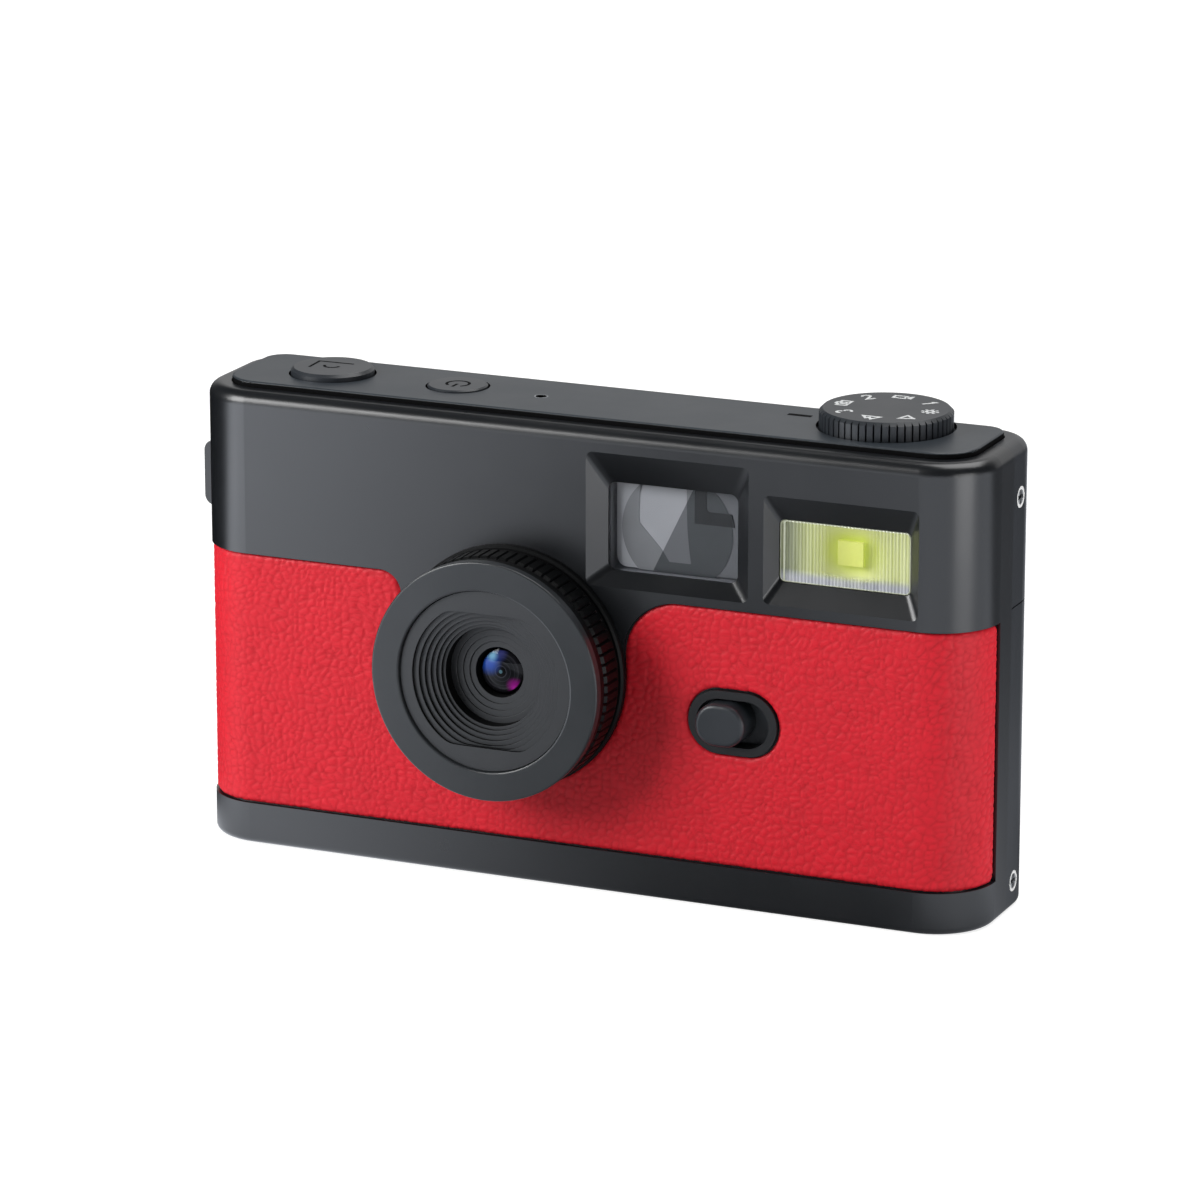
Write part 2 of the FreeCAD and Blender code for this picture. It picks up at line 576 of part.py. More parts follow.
def drill(body, name, circles, length, role="XY_Plane", lift=ZERO, back=False):
    """A pocket of one or more circles (u, v, radius)."""
    sketch = new_sketch(body, name + "_circles", role, lift)
    for circle in circles:
        disc(sketch, *circle)
    return feature(body, "Pocket", name, sketch, length, back)


def studs(body, name, circles, length, role="XY_Plane", lift=ZERO, back=False):
    """A pad of one or more circles (u, v, radius)."""
    sketch = new_sketch(body, name + "_circles", role, lift)
    for circle in circles:
        disc(sketch, *circle)
    return feature(body, "Pad", name, sketch, length, back)


def round_off(body, name, chosen, radius):
    """A fillet on the edges of the body's last feature that the test picks."""
    doc.recompute()
    base = body.Tip
    picked = [f"Edge{i}" for i, edge in enumerate(base.Shape.Edges, 1) if chosen(edge)]
    made = body.newObject("PartDesign::Fillet", name)
    made.Base = (base, picked)
    made.Radius = float(radius)
    bind(made, "Radius", radius)
    return made


def turned(label, profile, at, turn):
    """A turned piece: a closed profile of (radius, height) points spun about its own axis."""
    body = new_body(label)
    sketch = new_sketch(body, label + "_profile", "XZ_Plane")
    draw(sketch, profile)
    made = body.newObject("PartDesign::Revolution", label + "_spin")
    made.Profile = sketch
    made.ReferenceAxis = (sketch, ["V_Axis"])
    made.Angle = 4 * QUARTER
    seat(body, at, turn)
    return node(body, label)


def box(name, x_pair, y_pair, z_pair):
    """A box from its low and high faces along each axis."""
    made = doc.addObject("Part::Box", name)
    for side, (low, high) in zip(("Length", "Width", "Height"), (x_pair, y_pair, z_pair)):
        setattr(made, side, float(high) - float(low))
        bind(made, side, high - low)
    seat(made, (x_pair[0], y_pair[0], z_pair[0]))
    return made


def rod(name, radius, length, at, turn=UPWARD):
    """A cylinder from its radius and length, starting at a point."""
    made = doc.addObject("Part::Cylinder", name)
    made.Radius = float(radius)
    made.Height = float(length)
    bind(made, "Radius", radius)
    bind(made, "Height", length)
    seat(made, at, turn)
    return made


def united(name, shapes):
    made = doc.addObject("Part::MultiFuse", name)
    made.Shapes = shapes
    return made


def cut_from(name, base, tool):
    made = doc.addObject("Part::Cut", name)
    made.Base = base
    made.Tool = tool
    return made


def common(name, first, second):
    made = doc.addObject("Part::Common", name)
    made.Base = first
    made.Tool = second
    return made


def group(label, shapes):
    """Several equal solids that stay apart in one node."""
    made = doc.addObject("Part::Compound", label + "_set")
    made.Links = shapes
    return node(made, label)


# Faces of the casing, worked out from its driving sizes
front = -body_depth / 2
rear = body_depth / 2
plate_seat = body_height - rim_drop
ledge_low = plate_seat - ledge_thick
plate_top = body_height + plate_raise
plate_under = plate_top - plate_thick
inner_front = front + wall
inner_rear = rear - wall
leather_end = front + front_corner + leather_wrap
past = Length(1.0, "1")
view_x = (view_glass_left + view_glass_right) / 2
view_z = (view_glass_low + view_glass_high) / 2
flash_x = (flash_glass_left + flash_glass_right) / 2
flash_z = (flash_glass_low + flash_glass_high) / 2
view_pane_front = front + view_depth + pane_wall
flash_pane_front = front + flash_depth + pane_wall
knob_x = slider_x - slot_length / 2 + knob_start + knob_length / 2
board_top = ledge_low - stop_gap
posts = [(post_left, post_low), (post_right, post_low), (post_left, post_high),
         (post_right, post_high)]


def reversed_arc(arc):
    return arc[:3] + (arc[4], arc[3])


def front_outline(inset, back):
    """The casing's plan outline in front of a line across it, moved inwards by an inset."""
    corner = front_corner - inset
    left = inset - half_width
    right = half_width - inset
    near = front + inset
    return [
        (left, back),
        (left + corner, near + corner, corner, 2 * QUARTER, 3 * QUARTER),
        (right - corner, near + corner, corner, 3 * QUARTER, 4 * QUARTER),
        (right, back),
    ]


def rear_outline(inset, start):
    """The casing's plan outline behind a line across it, moved inwards by an inset."""
    corner = rear_corner - inset
    left = inset - half_width
    right = half_width - inset
    far = rear - inset
    return [
        (right, start),
        (right - corner, far - corner, corner, 0, QUARTER),
        (left + corner, far - corner, corner, QUARTER, 2 * QUARTER),
        (left, start),
    ]


def whole_outline(inset):
    return front_outline(inset, ZERO)[1:3] + rear_outline(inset, ZERO)[1:3]


def band_outline(outer, inner):
    """A band round the front: its outer outline, and back along its inner one."""
    return outer + [inner[3], reversed_arc(inner[2]), reversed_arc(inner[1]), inner[0]]


def level_edge(height, limit, side):
    """A test that picks the edges at one height, on one side of a line across the casing."""
    near = 1e-4

    def chosen(edge):
        flat = all(abs(vertex.Point.z - float(height)) < near for vertex in edge.Vertexes)
        middle = edge.valueAt((edge.FirstParameter + edge.LastParameter) / 2)
        return flat and side * (middle.y - float(limit)) > near

    return chosen


def lens_field(grow):
    """The black field round the lens: an arch below and two flared corners above."""
    half = boss_half_width + grow
    left_flare = boss_left_flare - grow
    right_flare = boss_right_flare - grow
    top = leather_top - grow
    left = lens_x - half
    right = lens_x + half
    return [
        (left - left_flare, top - left_flare, left_flare, QUARTER, 0),
        (lens_x, lens_z, half, 2 * QUARTER, 4 * QUARTER),
        (right + right_flare, top - right_flare, right_flare, 2 * QUARTER, QUARTER),
        (right + right_flare, top + past),
        (left - left_flare, top + past),
    ]


def window(body, name, mouth, throat, corners, depth):
    """A funnel in the front face, its window hole and the wider seat of its pane."""
    outer = new_sketch(body, name + "_mouth", "XZ_Plane", -front)
    draw(outer, rectangle(*mouth, corners[0]))
    deep = new_sketch(body, name + "_throat", "XZ_Plane", -front - depth)
    draw(deep, rectangle(*throat, corners[1]))
    funnel = body.newObject("PartDesign::SubtractiveLoft", name + "_funnel")
    funnel.Profile = outer
    funnel.Sections = [deep]
    funnel.Ruled = True
    pocket(body, name + "_hole", rectangle(*throat, corners[1]), backing_depth, "XZ_Plane",
           -front - depth)
    grow = pane_lip + fit_gap
    seat_outline = rectangle(throat[0] - grow, throat[1] + grow, throat[2] - grow,
                             throat[3] + grow)
    pocket(body, name + "_pane_seat", seat_outline, backing_depth, "XZ_Plane",
           -front - depth - pane_wall)


def tongues(body):
    """Four tongues behind the parting line, each with the pilot hole of a side screw."""
    outer = half_width - wall - tongue_gap
    inner = outer - tongue_thick
    step = parting - tongue_gap
    plan = [(inner, tongue_front), (outer + tongue_gap + fit_gap, tongue_front),
            (outer + tongue_gap + fit_gap, step), (outer, step), (outer, tongue_rear),
            (inner, tongue_rear)]
    for name, height in (("low", screw_low), ("high", screw_high)):
        for side, sign in (("right", 1.0), ("left", -1.0)):
            outline = [(across * sign, along) for across, along in plan]
            pad(body, f"tongue_{side}_{name}", outline, tongue_half * 2,
                lift=height - tongue_half)
            drill(body, f"pilot_{side}_{name}", [(screw_y, height, screw_shank)],
                  tongue_thick + past, "YZ_Plane", outer * sign, back=sign < 0)


def front_shell():
    """The front casing: face, base, ends and the front half of the rim, with its inner posts."""
    body = new_body("front_shell")
    pad(body, "casing_front", front_outline(ZERO, parting), body_height)
    round_off(body, "rim_rounding", level_edge(body_height, parting, -1), rim_round)
    round_off(body, "base_rounding", level_edge(ZERO, parting, -1), base_round)
    behind = parting + past
    pocket(body, "hollow", front_outline(wall, behind), ledge_low - base_wall, lift=ledge_low)
    pocket(body, "ledge_way", front_outline(ledge_inset, behind), ledge_thick, lift=plate_seat)
    pocket(body, "plate_way", front_outline(rim_inset, behind), rim_drop, lift=body_height)
    backing = rectangle(view_left - backing_rim, flash_right, view_low - backing_rim, ledge_low)
    pad(body, "window_backing", backing, backing_depth - wall + fit_gap, "XZ_Plane",
        -inner_front + fit_gap, back=True)
    # The leather lies in a shallow recess, with the field round the lens left standing
    outer = [(-half_width - past, leather_end), (-half_width - past, front - past),
             (half_width + past, front - past), (half_width + past, leather_end)]
    recess = band_outline(outer, front_outline(leather_recess, leather_end))
    pocket(body, "leather_seat", recess, leather_top - leather_low, lift=leather_top)
    pad(body, "lens_field", lens_field(ZERO), leather_recess + fit_gap, "XZ_Plane",
        -front - leather_recess - fit_gap)
    window(body, "view", (view_left, view_right, view_low, view_high),
           (view_glass_left, view_glass_right, view_glass_low, view_glass_high),
           (view_corner, view_glass_corner), view_depth)
    window(body, "flash", (flash_left, flash_right, flash_low, flash_high),
           (flash_glass_left, flash_glass_right, flash_glass_low, flash_glass_high),
           (flash_corner, flash_glass_corner), flash_depth)
    drill(body, "lens_way", [(lens_x, lens_z, barrel_radius + fit_gap)], wall + past,
          "XZ_Plane", -front)
    drill(body, "barrel_flange_way", [(lens_x, lens_z, barrel_flange + free_gap)],
          backing_depth, "XZ_Plane", -inner_front)
    pocket(body, "slider_way", oval(slider_x, slider_z, slider_length + fit_gap * 2,
                                    slider_height + fit_gap * 2), wall + past,
           "XZ_Plane", -front)
    studs(body, "board_posts", [(u, v, post_radius) for u, v in posts],
          main_board_y - inner_front + fit_gap, "XZ_Plane", -inner_front + fit_gap, back=True)
    drill(body, "post_holes", [(u, v, board_screw_radius) for u, v in posts],
          board_screw_reach + past, "XZ_Plane", -main_board_y, back=True)
    tongues(body)
    tripod_spot = (tripod_x, tripod_y)
    studs(body, "tripod_boss", [tripod_spot + (tripod_radius + tripod_boss,)],
          tripod_height + tripod_boss - base_wall + fit_gap, lift=base_wall - fit_gap)
    drill(body, "tripod_way", [tripod_spot + (tripod_radius + fit_gap,)], tripod_height + fit_gap,
          back=True)
    door_way(body)
    return node(body, "front_shell")


# Battery door and its hinge, which turns about an axis along the depth
battery_right = battery_left + battery_width
battery_rear = battery_front + battery_thick
way_left = battery_left - battery_play
way_right = battery_right + battery_play
way_front = battery_front - battery_play
way_rear = battery_rear + battery_play
door_left = way_left - door_lip
door_right = way_right + door_lip
door_front = way_front - door_lip
door_rear = way_rear + door_lip
door_middle = (door_front + door_rear) / 2
hinge_x = door_right + hinge_reach
hinge_z = hinge_radius + fit_gap
neck_front = door_middle - door_neck / 2
neck_rear = door_middle + door_neck / 2
block_top = hinge_z + hinge_radius + free_gap * 2


def door_way(body):
    """The battery's opening in the base, the door's seat, and the block that holds its pin."""
    pad(body, "hinge_block",
        rectangle(hinge_x - hinge_radius - free_gap * 2, hinge_x + hinge_radius + free_gap * 3,
                  door_front, door_rear), block_top - base_wall + fit_gap,
        lift=base_wall - fit_gap)
    pocket(body, "battery_way", rectangle(way_left, way_right, way_front, way_rear),
           base_wall + past, back=True)
    pocket(body, "door_seat",
           rectangle(door_left - door_gap, hinge_x - pin_radius - free_gap * 2,
                     door_front - door_gap, door_rear + door_gap),
           door_thick + free_gap / 2, back=True)
    pocket(body, "knuckle_way",
           rectangle(hinge_x - hinge_radius - free_gap, hinge_x + hinge_radius + free_gap,
                     neck_front - free_gap, neck_rear + free_gap),
           hinge_z + hinge_radius + free_gap, back=True)
    drill(body, "pin_way", [(hinge_x, hinge_z, pin_radius + fit_gap)],
          door_rear - door_front, "XZ_Plane", -door_front)


def battery_door():
    """The door: a plate, a neck and a knuckle bored for the hinge pin."""
    plate = box("door_plate", (door_left, door_right), (door_front, door_rear),
                (fit_gap, door_thick))
    neck = box("door_neck", (door_right - fit_gap, hinge_x), (neck_front, neck_rear),
               (fit_gap, door_thick))
    knuckle = rod("door_knuckle", hinge_radius, door_neck, (hinge_x, neck_rear, hinge_z),
                  OUTWARD_FRONT)
    bore = rod("door_bore", pin_radius + running_gap, door_neck + past * 2,
               (hinge_x, neck_rear + past, hinge_z), OUTWARD_FRONT)
    solid = united("door_solid", [plate, neck, knuckle])
    node(cut_from("door_bored", solid, bore), "battery_door")
    node(rod("hinge_pin", pin_radius, door_rear - door_front - fit_gap * 2,
             (hinge_x, door_rear - fit_gap, hinge_z), OUTWARD_FRONT), "door_hinge_pin")


def front_leather():
    """The leather: a thin band in the recess, cut out round the lens and the slider."""
    body = new_body("front_leather")
    end = leather_end - leather_groove
    band = band_outline(front_outline(leather_sink, end),
                        front_outline(leather_recess - fit_gap, end))
    low = leather_low + leather_groove
    top = leather_top - leather_groove
    pad(body, "leather_band", band, top - low, lift=low)
    pocket(body, "lens_cut", lens_field(leather_groove), leather_recess + past, "XZ_Plane",
           -front + fit_gap)
    groove = (fit_gap + leather_groove) * 2
    pocket(body, "slider_cut", oval(slider_x, slider_z, slider_length + groove,
                                    slider_height + groove), leather_recess + past,
           "XZ_Plane", -front + fit_gap)
    near = 1e-4
    heights = (float(low), float(top))

    def end_corner(edge):
        spots = [vertex.Point for vertex in edge.Vertexes]
        behind = all(abs(spot.y - float(end)) < near for spot in spots)
        return behind and all(min(abs(spot.z - value) for value in heights) < near
                              for spot in spots) and abs(spots[0].z - spots[-1].z) < near

    round_off(body, "end_rounding", end_corner, leather_round)
    return node(body, "front_leather")


def cover_screw_ways(body, name, height):
    """Counterbored holes for the side screws, one through each end wall."""
    for side, sign in (("right", 1.0), ("left", -1.0)):
        drill(body, f"{name}_head_{side}", [(screw_y, height, screw_head + fit_gap)],
              screw_head_thick + fit_gap, "YZ_Plane", half_width * sign, back=sign < 0)
        drill(body, f"{name}_shank_{side}", [(screw_y, height, screw_shank + fit_gap)],
              wall + past, "YZ_Plane", half_width * sign, back=sign < 0)


def rear_upper_cover():
    """The upper rear cover: its back, ends and the rear half of the rim."""
    body = new_body("rear_upper_cover")
    low = seam_height + seam_gap / 2
    pad(body, "upper_back", rear_outline(ZERO, parting), body_height - low, lift=low)
    round_off(body, "upper_rounding", level_edge(body_height, parting, 1), rim_round)
    before = parting - past
    pocket(body, "upper_hollow", rear_outline(wall, before), ledge_low - low + past,
           lift=ledge_low)
    pocket(body, "upper_ledge_way", rear_outline(ledge_inset, before), ledge_thick,
           lift=plate_seat)
    pocket(body, "upper_plate_way", rear_outline(rim_inset, before), rim_drop,
           lift=body_height)
    eye = rectangle(view_x - eye_width / 2, view_x + eye_width / 2, view_z - eye_height / 2,
                    view_z + eye_height / 2)
    pocket(body, "eyepiece_way", eye, wall + past, "XZ_Plane", -rear, back=True)
    cover_screw_ways(body, "upper", screw_high)
    return node(body, "rear_upper_cover")


key_top = key_first + key_pitch * 3
key_spots = {
    "menu_key": (key_x - key_side, key_top),
    "play_key": (key_x + key_side, key_top),
    "up_key": (key_x, key_first + key_pitch * 2),
    "ok_key": (key_x, key_first + key_pitch),
    "down_key": (key_x, key_first),
}


def rear_lower_cover():
    """The lower rear cover: back, base and ends, open for the display, keys and sockets."""
    body = new_body("rear_lower_cover")
    top = seam_height - seam_gap / 2
    pad(body, "lower_back", rear_outline(ZERO, parting), top)
    round_off(body, "lower_rounding", level_edge(ZERO, parting, 1), base_round)
    pocket(body, "lower_hollow", rear_outline(wall, parting - past), top - base_wall + past,
           lift=top + past)
    pocket(body, "screen_seat",
           rectangle(screen_left - fit_gap, screen_right + fit_gap, screen_low - fit_gap,
                     screen_high + fit_gap, screen_corner), screen_glass_thick + fit_gap,
           "XZ_Plane", -rear, back=True)
    pocket(body, "screen_way",
           rectangle(screen_left + screen_border, screen_right - screen_border,
                     screen_low + screen_border, screen_high - screen_border),
           wall + past, "XZ_Plane", -rear, back=True)
    ways = [spot + (key_radius + free_gap,) for spot in key_spots.values()]
    drill(body, "key_ways", ways, wall + past, "XZ_Plane", -rear, back=True)
    grille = []
    for index in range(grille_count):
        turn = 2 * math.pi * index / grille_count
        grille.append((speaker_x + grille_ring * math.cos(turn),
                       speaker_z + grille_ring * math.sin(turn), grille_radius))
    grille.append((speaker_x, speaker_z, grille_radius))
    drill(body, "speaker_grille", grille, wall + past, "XZ_Plane", -rear, back=True)
    cover_screw_ways(body, "lower", screw_low)
    side_ways(body)
    return node(body, "rear_lower_cover")


key_board_rear = rear - wall - stop_gap - key_flange_thick - key_travel - free_gap - dome_thick
key_board_front = key_board_rear - board_thick
socket_rear = key_board_front
socket_front = socket_rear - socket_thick
card_front = socket_rear - card_thick


def side_ways(body):
    """The openings of the charging socket and of the card slot in the left end."""
    mouth = rectangle(socket_front - fit_gap, socket_rear + fit_gap, socket_low - fit_gap,
                      socket_low + socket_width + fit_gap)
    pocket(body, "socket_way", mouth, wall + past, "YZ_Plane", -half_width, back=True)
    middle = card_low + card_width / 2
    slot = rectangle(card_front, socket_rear, middle - card_slot / 2 - fit_gap,
                     middle + card_slot / 2 + fit_gap)
    pocket(body, "card_way", slot, wall + past, "YZ_Plane", -half_width, back=True)

# Lens, measured outwards along its axis from the front face
LENS = (lens_x, front, lens_z)
front_ring_face = barrel_reach + front_ring_thick
baffle_face = front_ring_face - baffle_sink
deep_face = baffle_face - step_drop * outer_steps
inner_face = deep_face - deep_drop
well_face = inner_face - inner_drop * inner_steps
cell_face = well_face - inner_drop - glass_thick + fit_gap
baffle_root = cell_face - fit_gap
barrel_floor_top = barrel_floor - barrel_root
holder_face = -barrel_root - fit_gap
sensor_board_face = holder_face - holder_depth
sensor_face = sensor_board_face + sensor_thick
filter_face = sensor_face + filter_thick


def lens_box(name, side, low, high):
    """A square plate behind the lens, between two distances from the front face."""
    half = side / 2
    return box(name, (lens_x - half, lens_x + half), (front - high, front - low),
               (lens_z - half, lens_z + half))


def knurl(body, name, radius, depth, low, high, count):
    """Straight flutes round a turned ring, cut by one groove repeated round its axis."""
    width = radius * 2 * math.pi / (count * 4)
    outline = [(radius + depth, -width), (radius + depth, width), (radius - depth, ZERO)]
    groove = pocket(body, name, outline, high - low, lift=high)
    pattern = body.newObject("PartDesign::PolarPattern", name + "_pattern")
    pattern.Originals = [groove]
    pattern.Axis = (plane_of(body, "Z_Axis"), [""])
    pattern.Angle = 4 * QUARTER
    pattern.Occurrences = count
    body.Tip = pattern
    return pattern


def lens_barrel():
    """The fixed tube with its flange behind the front wall and its floor."""
    low = -barrel_root
    under = -wall - fit_gap
    cell_way = cell_radius + fit_gap
    profile = [(cell_way, low), (barrel_flange, low), (barrel_flange, under),
               (barrel_radius, under), (barrel_radius, barrel_reach),
               (barrel_bore, barrel_reach), (barrel_bore, barrel_floor_top),
               (cell_way, barrel_floor_top)]
    return turned("lens_barrel", profile, LENS, OUTWARD_FRONT)


def lens_outside():
    """Base flange, knurled ring and front ring on the barrel."""
    bore = barrel_radius + fit_gap
    profile = [(bore, fit_gap), (flange_radius, fit_gap),
               (flange_radius, flange_height - ring_bevel),
               (flange_radius - ring_bevel, flange_height), (bore, flange_height)]
    turned("lens_base_flange", profile, LENS, OUTWARD_FRONT)
    low = flange_height + stop_gap
    high = barrel_reach - stop_gap
    bore = barrel_radius + running_gap
    profile = [(bore, low), (ring_radius - ring_bevel, low), (ring_radius, low + ring_bevel),
               (ring_radius, high - ring_bevel), (ring_radius - ring_bevel, high),
               (bore, high)]
    ring = turned("focus_ring", profile, LENS, OUTWARD_FRONT)
    knurl(ring, "ring_flute", ring_radius, knurl_depth, low, high, knurl_count)
    face = front_ring_face
    profile = [(front_ring_bore, barrel_reach), (ring_radius, barrel_reach),
               (ring_radius, face - ring_bevel), (ring_radius - ring_bevel, face),
               (front_ring_bore, face)]
    turned("lens_front_ring", profile, LENS, OUTWARD_FRONT)


def light_baffle():
    """The stepped well in front of the glass, its outer steps cut by two flats."""
    def step(name, radius, high, low, flat=None):
        place = (lens_x, front - low, lens_z)
        tool = rod(name, radius, high - low, place, OUTWARD_FRONT)
        if flat is None:
            return tool
        slab = box(name + "_flats", (lens_x - radius * 2, lens_x + radius * 2),
                   (front - high, front - low), (lens_z - flat, lens_z + flat))
        return common(name + "_between_flats", tool, slab)

    disc_back = baffle_face - baffle_lip
    lip = rod("baffle_lip_disc", front_ring_bore - fit_gap, baffle_face - disc_back,
              (lens_x, front - disc_back, lens_z), OUTWARD_FRONT)
    tube = rod("baffle_tube_body", baffle_tube, disc_back - baffle_root,
               (lens_x, front - baffle_root, lens_z), OUTWARD_FRONT)
    tools = []
    for index in range(outer_steps):
        low = baffle_face - step_drop * (index + 1)
        tools.append(step(f"outer_step_{index + 1}", step_radius - step_in * index,
                          baffle_face + past, low, step_flat))
    tools.append(step("deep_step", deep_radius, baffle_face + past, inner_face))
    for index in range(inner_steps):
        low = inner_face - inner_drop * (index + 1)
        radius = deep_radius - inner_in * (index + 1)
        tools.append(step(f"inner_ring_{index + 1}", radius, baffle_face + past, low))
    tools.append(step("glass_way", glass_radius + fit_gap, baffle_face + past,
                      baffle_root - past))
    body = united("baffle_body", [lip, tube])
    node(cut_from("baffle_cut", body, united("baffle_steps", tools)), "light_baffle")


def lens_inside():
    """Front glass, cell, rear glass, holder, filter, sensor and its board."""
    ball = doc.addObject("Part::Sphere", "glass_ball")
    ball.Radius = float(glass_dome)
    bind(ball, "Radius", glass_dome)
    top = cell_face + glass_thick
    seat(ball, (lens_x, front - top + glass_dome, lens_z))
    blank = rod("glass_blank", glass_radius, glass_thick, (lens_x, front - cell_face, lens_z),
                OUTWARD_FRONT)
    node(common("glass_lens", ball, blank), "front_glass")
    floor = -cell_root
    shoulder = floor + rear_glass_thick + past
    profile = [(cell_bore, floor), (cell_radius, floor), (cell_radius, cell_face - fit_gap),
               (cell_bore - past, cell_face - fit_gap), (cell_bore - past, shoulder),
               (cell_bore, shoulder)]
    turned("lens_cell", profile, LENS, OUTWARD_FRONT)
    node(rod("rear_lens", cell_bore - fit_gap, rear_glass_thick,
             (lens_x, front - shoulder + rear_glass_thick + fit_gap, lens_z), OUTWARD_FRONT),
         "rear_glass")
    profile = [(holder_bore, sensor_board_face), (holder_radius, sensor_board_face),
               (holder_radius, holder_face), (holder_bore, holder_face)]
    turned("sensor_holder", profile, LENS, OUTWARD_FRONT)
    node(lens_box("sensor_chip", sensor_side, sensor_board_face, sensor_face), "image_sensor")
    node(lens_box("filter_plate", filter_side, sensor_face, filter_face), "infrared_filter")
    node(lens_box("sensor_card", sensor_board_side, sensor_board_face - board_thick,
                  sensor_board_face), "sensor_board")


def viewfinder():
    """Front pane, tapered tunnel, eyepiece glass and the frame round it."""
    grow = pane_lip
    left = view_glass_left - grow
    right = view_glass_right + grow
    low = view_glass_low - grow
    high = view_glass_high + grow
    back = view_pane_front + pane_thick
    node(box("view_pane", (left, right), (view_pane_front, back), (low, high)),
         "viewfinder_window")
    start = back + fit_gap
    end = inner_rear - fit_gap
    body = new_body("viewfinder_tunnel")
    pad(body, "tunnel_outside", rectangle(left, right, low, high), end - start, "XZ_Plane",
        -start, back=True)
    wide = new_sketch(body, "tunnel_mouth", "XZ_Plane", -start)
    draw(wide, rectangle(left + tunnel_wall, right - tunnel_wall, low + tunnel_wall,
                         high - tunnel_wall))
    narrow = new_sketch(body, "tunnel_end", "XZ_Plane", -end)
    draw(narrow, rectangle(view_x - eye_width / 2, view_x + eye_width / 2,
                           view_z - eye_height / 2, view_z + eye_height / 2))
    taper = body.newObject("PartDesign::SubtractiveLoft", "tunnel_taper")
    taper.Profile = wide
    taper.Sections = [narrow]
    taper.Ruled = True
    node(body, "viewfinder_tunnel")
    half_wide = eye_width / 2 - fit_gap
    half_high = eye_height / 2 - fit_gap
    node(box("eye_glass", (view_x - half_wide, view_x + half_wide),
             (inner_rear, inner_rear + eye_thick), (view_z - half_high, view_z + half_high)),
         "eyepiece_glass")
    body = new_body("eyepiece_frame")
    wide = eye_width / 2 + eye_frame_rim
    tall = eye_height / 2 + eye_frame_rim
    pad(body, "frame_outside", rectangle(view_x - wide, view_x + wide, view_z - tall,
                                         view_z + tall, eye_frame_rim), eye_frame_proud,
        "XZ_Plane", -rear, back=True)
    wide = eye_width / 2
    tall = eye_height / 2
    pocket(body, "frame_opening", rectangle(view_x - wide, view_x + wide, view_z - tall,
                                            view_z + tall), eye_frame_proud + past,
           "XZ_Plane", -rear)
    node(body, "eyepiece_frame")


def flash():
    """Pane, reflector, emitter and board of the flash."""
    grow = pane_lip
    left = flash_glass_left - grow
    right = flash_glass_right + grow
    low = flash_glass_low - grow
    high = flash_glass_high + grow
    back = flash_pane_front + pane_thick
    node(box("flash_pane", (left, right), (flash_pane_front, back), (low, high)),
         "flash_window")
    start = back + fit_gap
    end = start + reflector_depth
    body = new_body("flash_reflector")
    pad(body, "reflector_outside", rectangle(left, right, low, high), reflector_depth,
        "XZ_Plane", -start, back=True)
    wide = new_sketch(body, "reflector_mouth", "XZ_Plane", -start)
    draw(wide, rectangle(left + reflector_wall, right - reflector_wall, low + reflector_wall,
                         high - reflector_wall))
    deep = new_sketch(body, "reflector_floor", "XZ_Plane", -end + reflector_wall)
    draw(deep, rectangle(flash_x - emitter_width, flash_x + emitter_width,
                         flash_z - emitter_height / 2 - fit_gap,
                         flash_z + emitter_height / 2 + fit_gap))
    bowl = body.newObject("PartDesign::SubtractiveLoft", "reflector_bowl")
    bowl.Profile = wide
    bowl.Sections = [deep]
    bowl.Ruled = True
    node(body, "flash_reflector")
    floor = end - reflector_wall
    node(box("emitter_chip", (flash_x - emitter_width / 2, flash_x + emitter_width / 2),
             (floor - emitter_thick, floor),
             (flash_z - emitter_height / 2, flash_z + emitter_height / 2)), "flash_emitter")
    node(box("flash_card", (left, right), (end + fit_gap, end + fit_gap + board_thick),
             (low, high)), "flash_board")


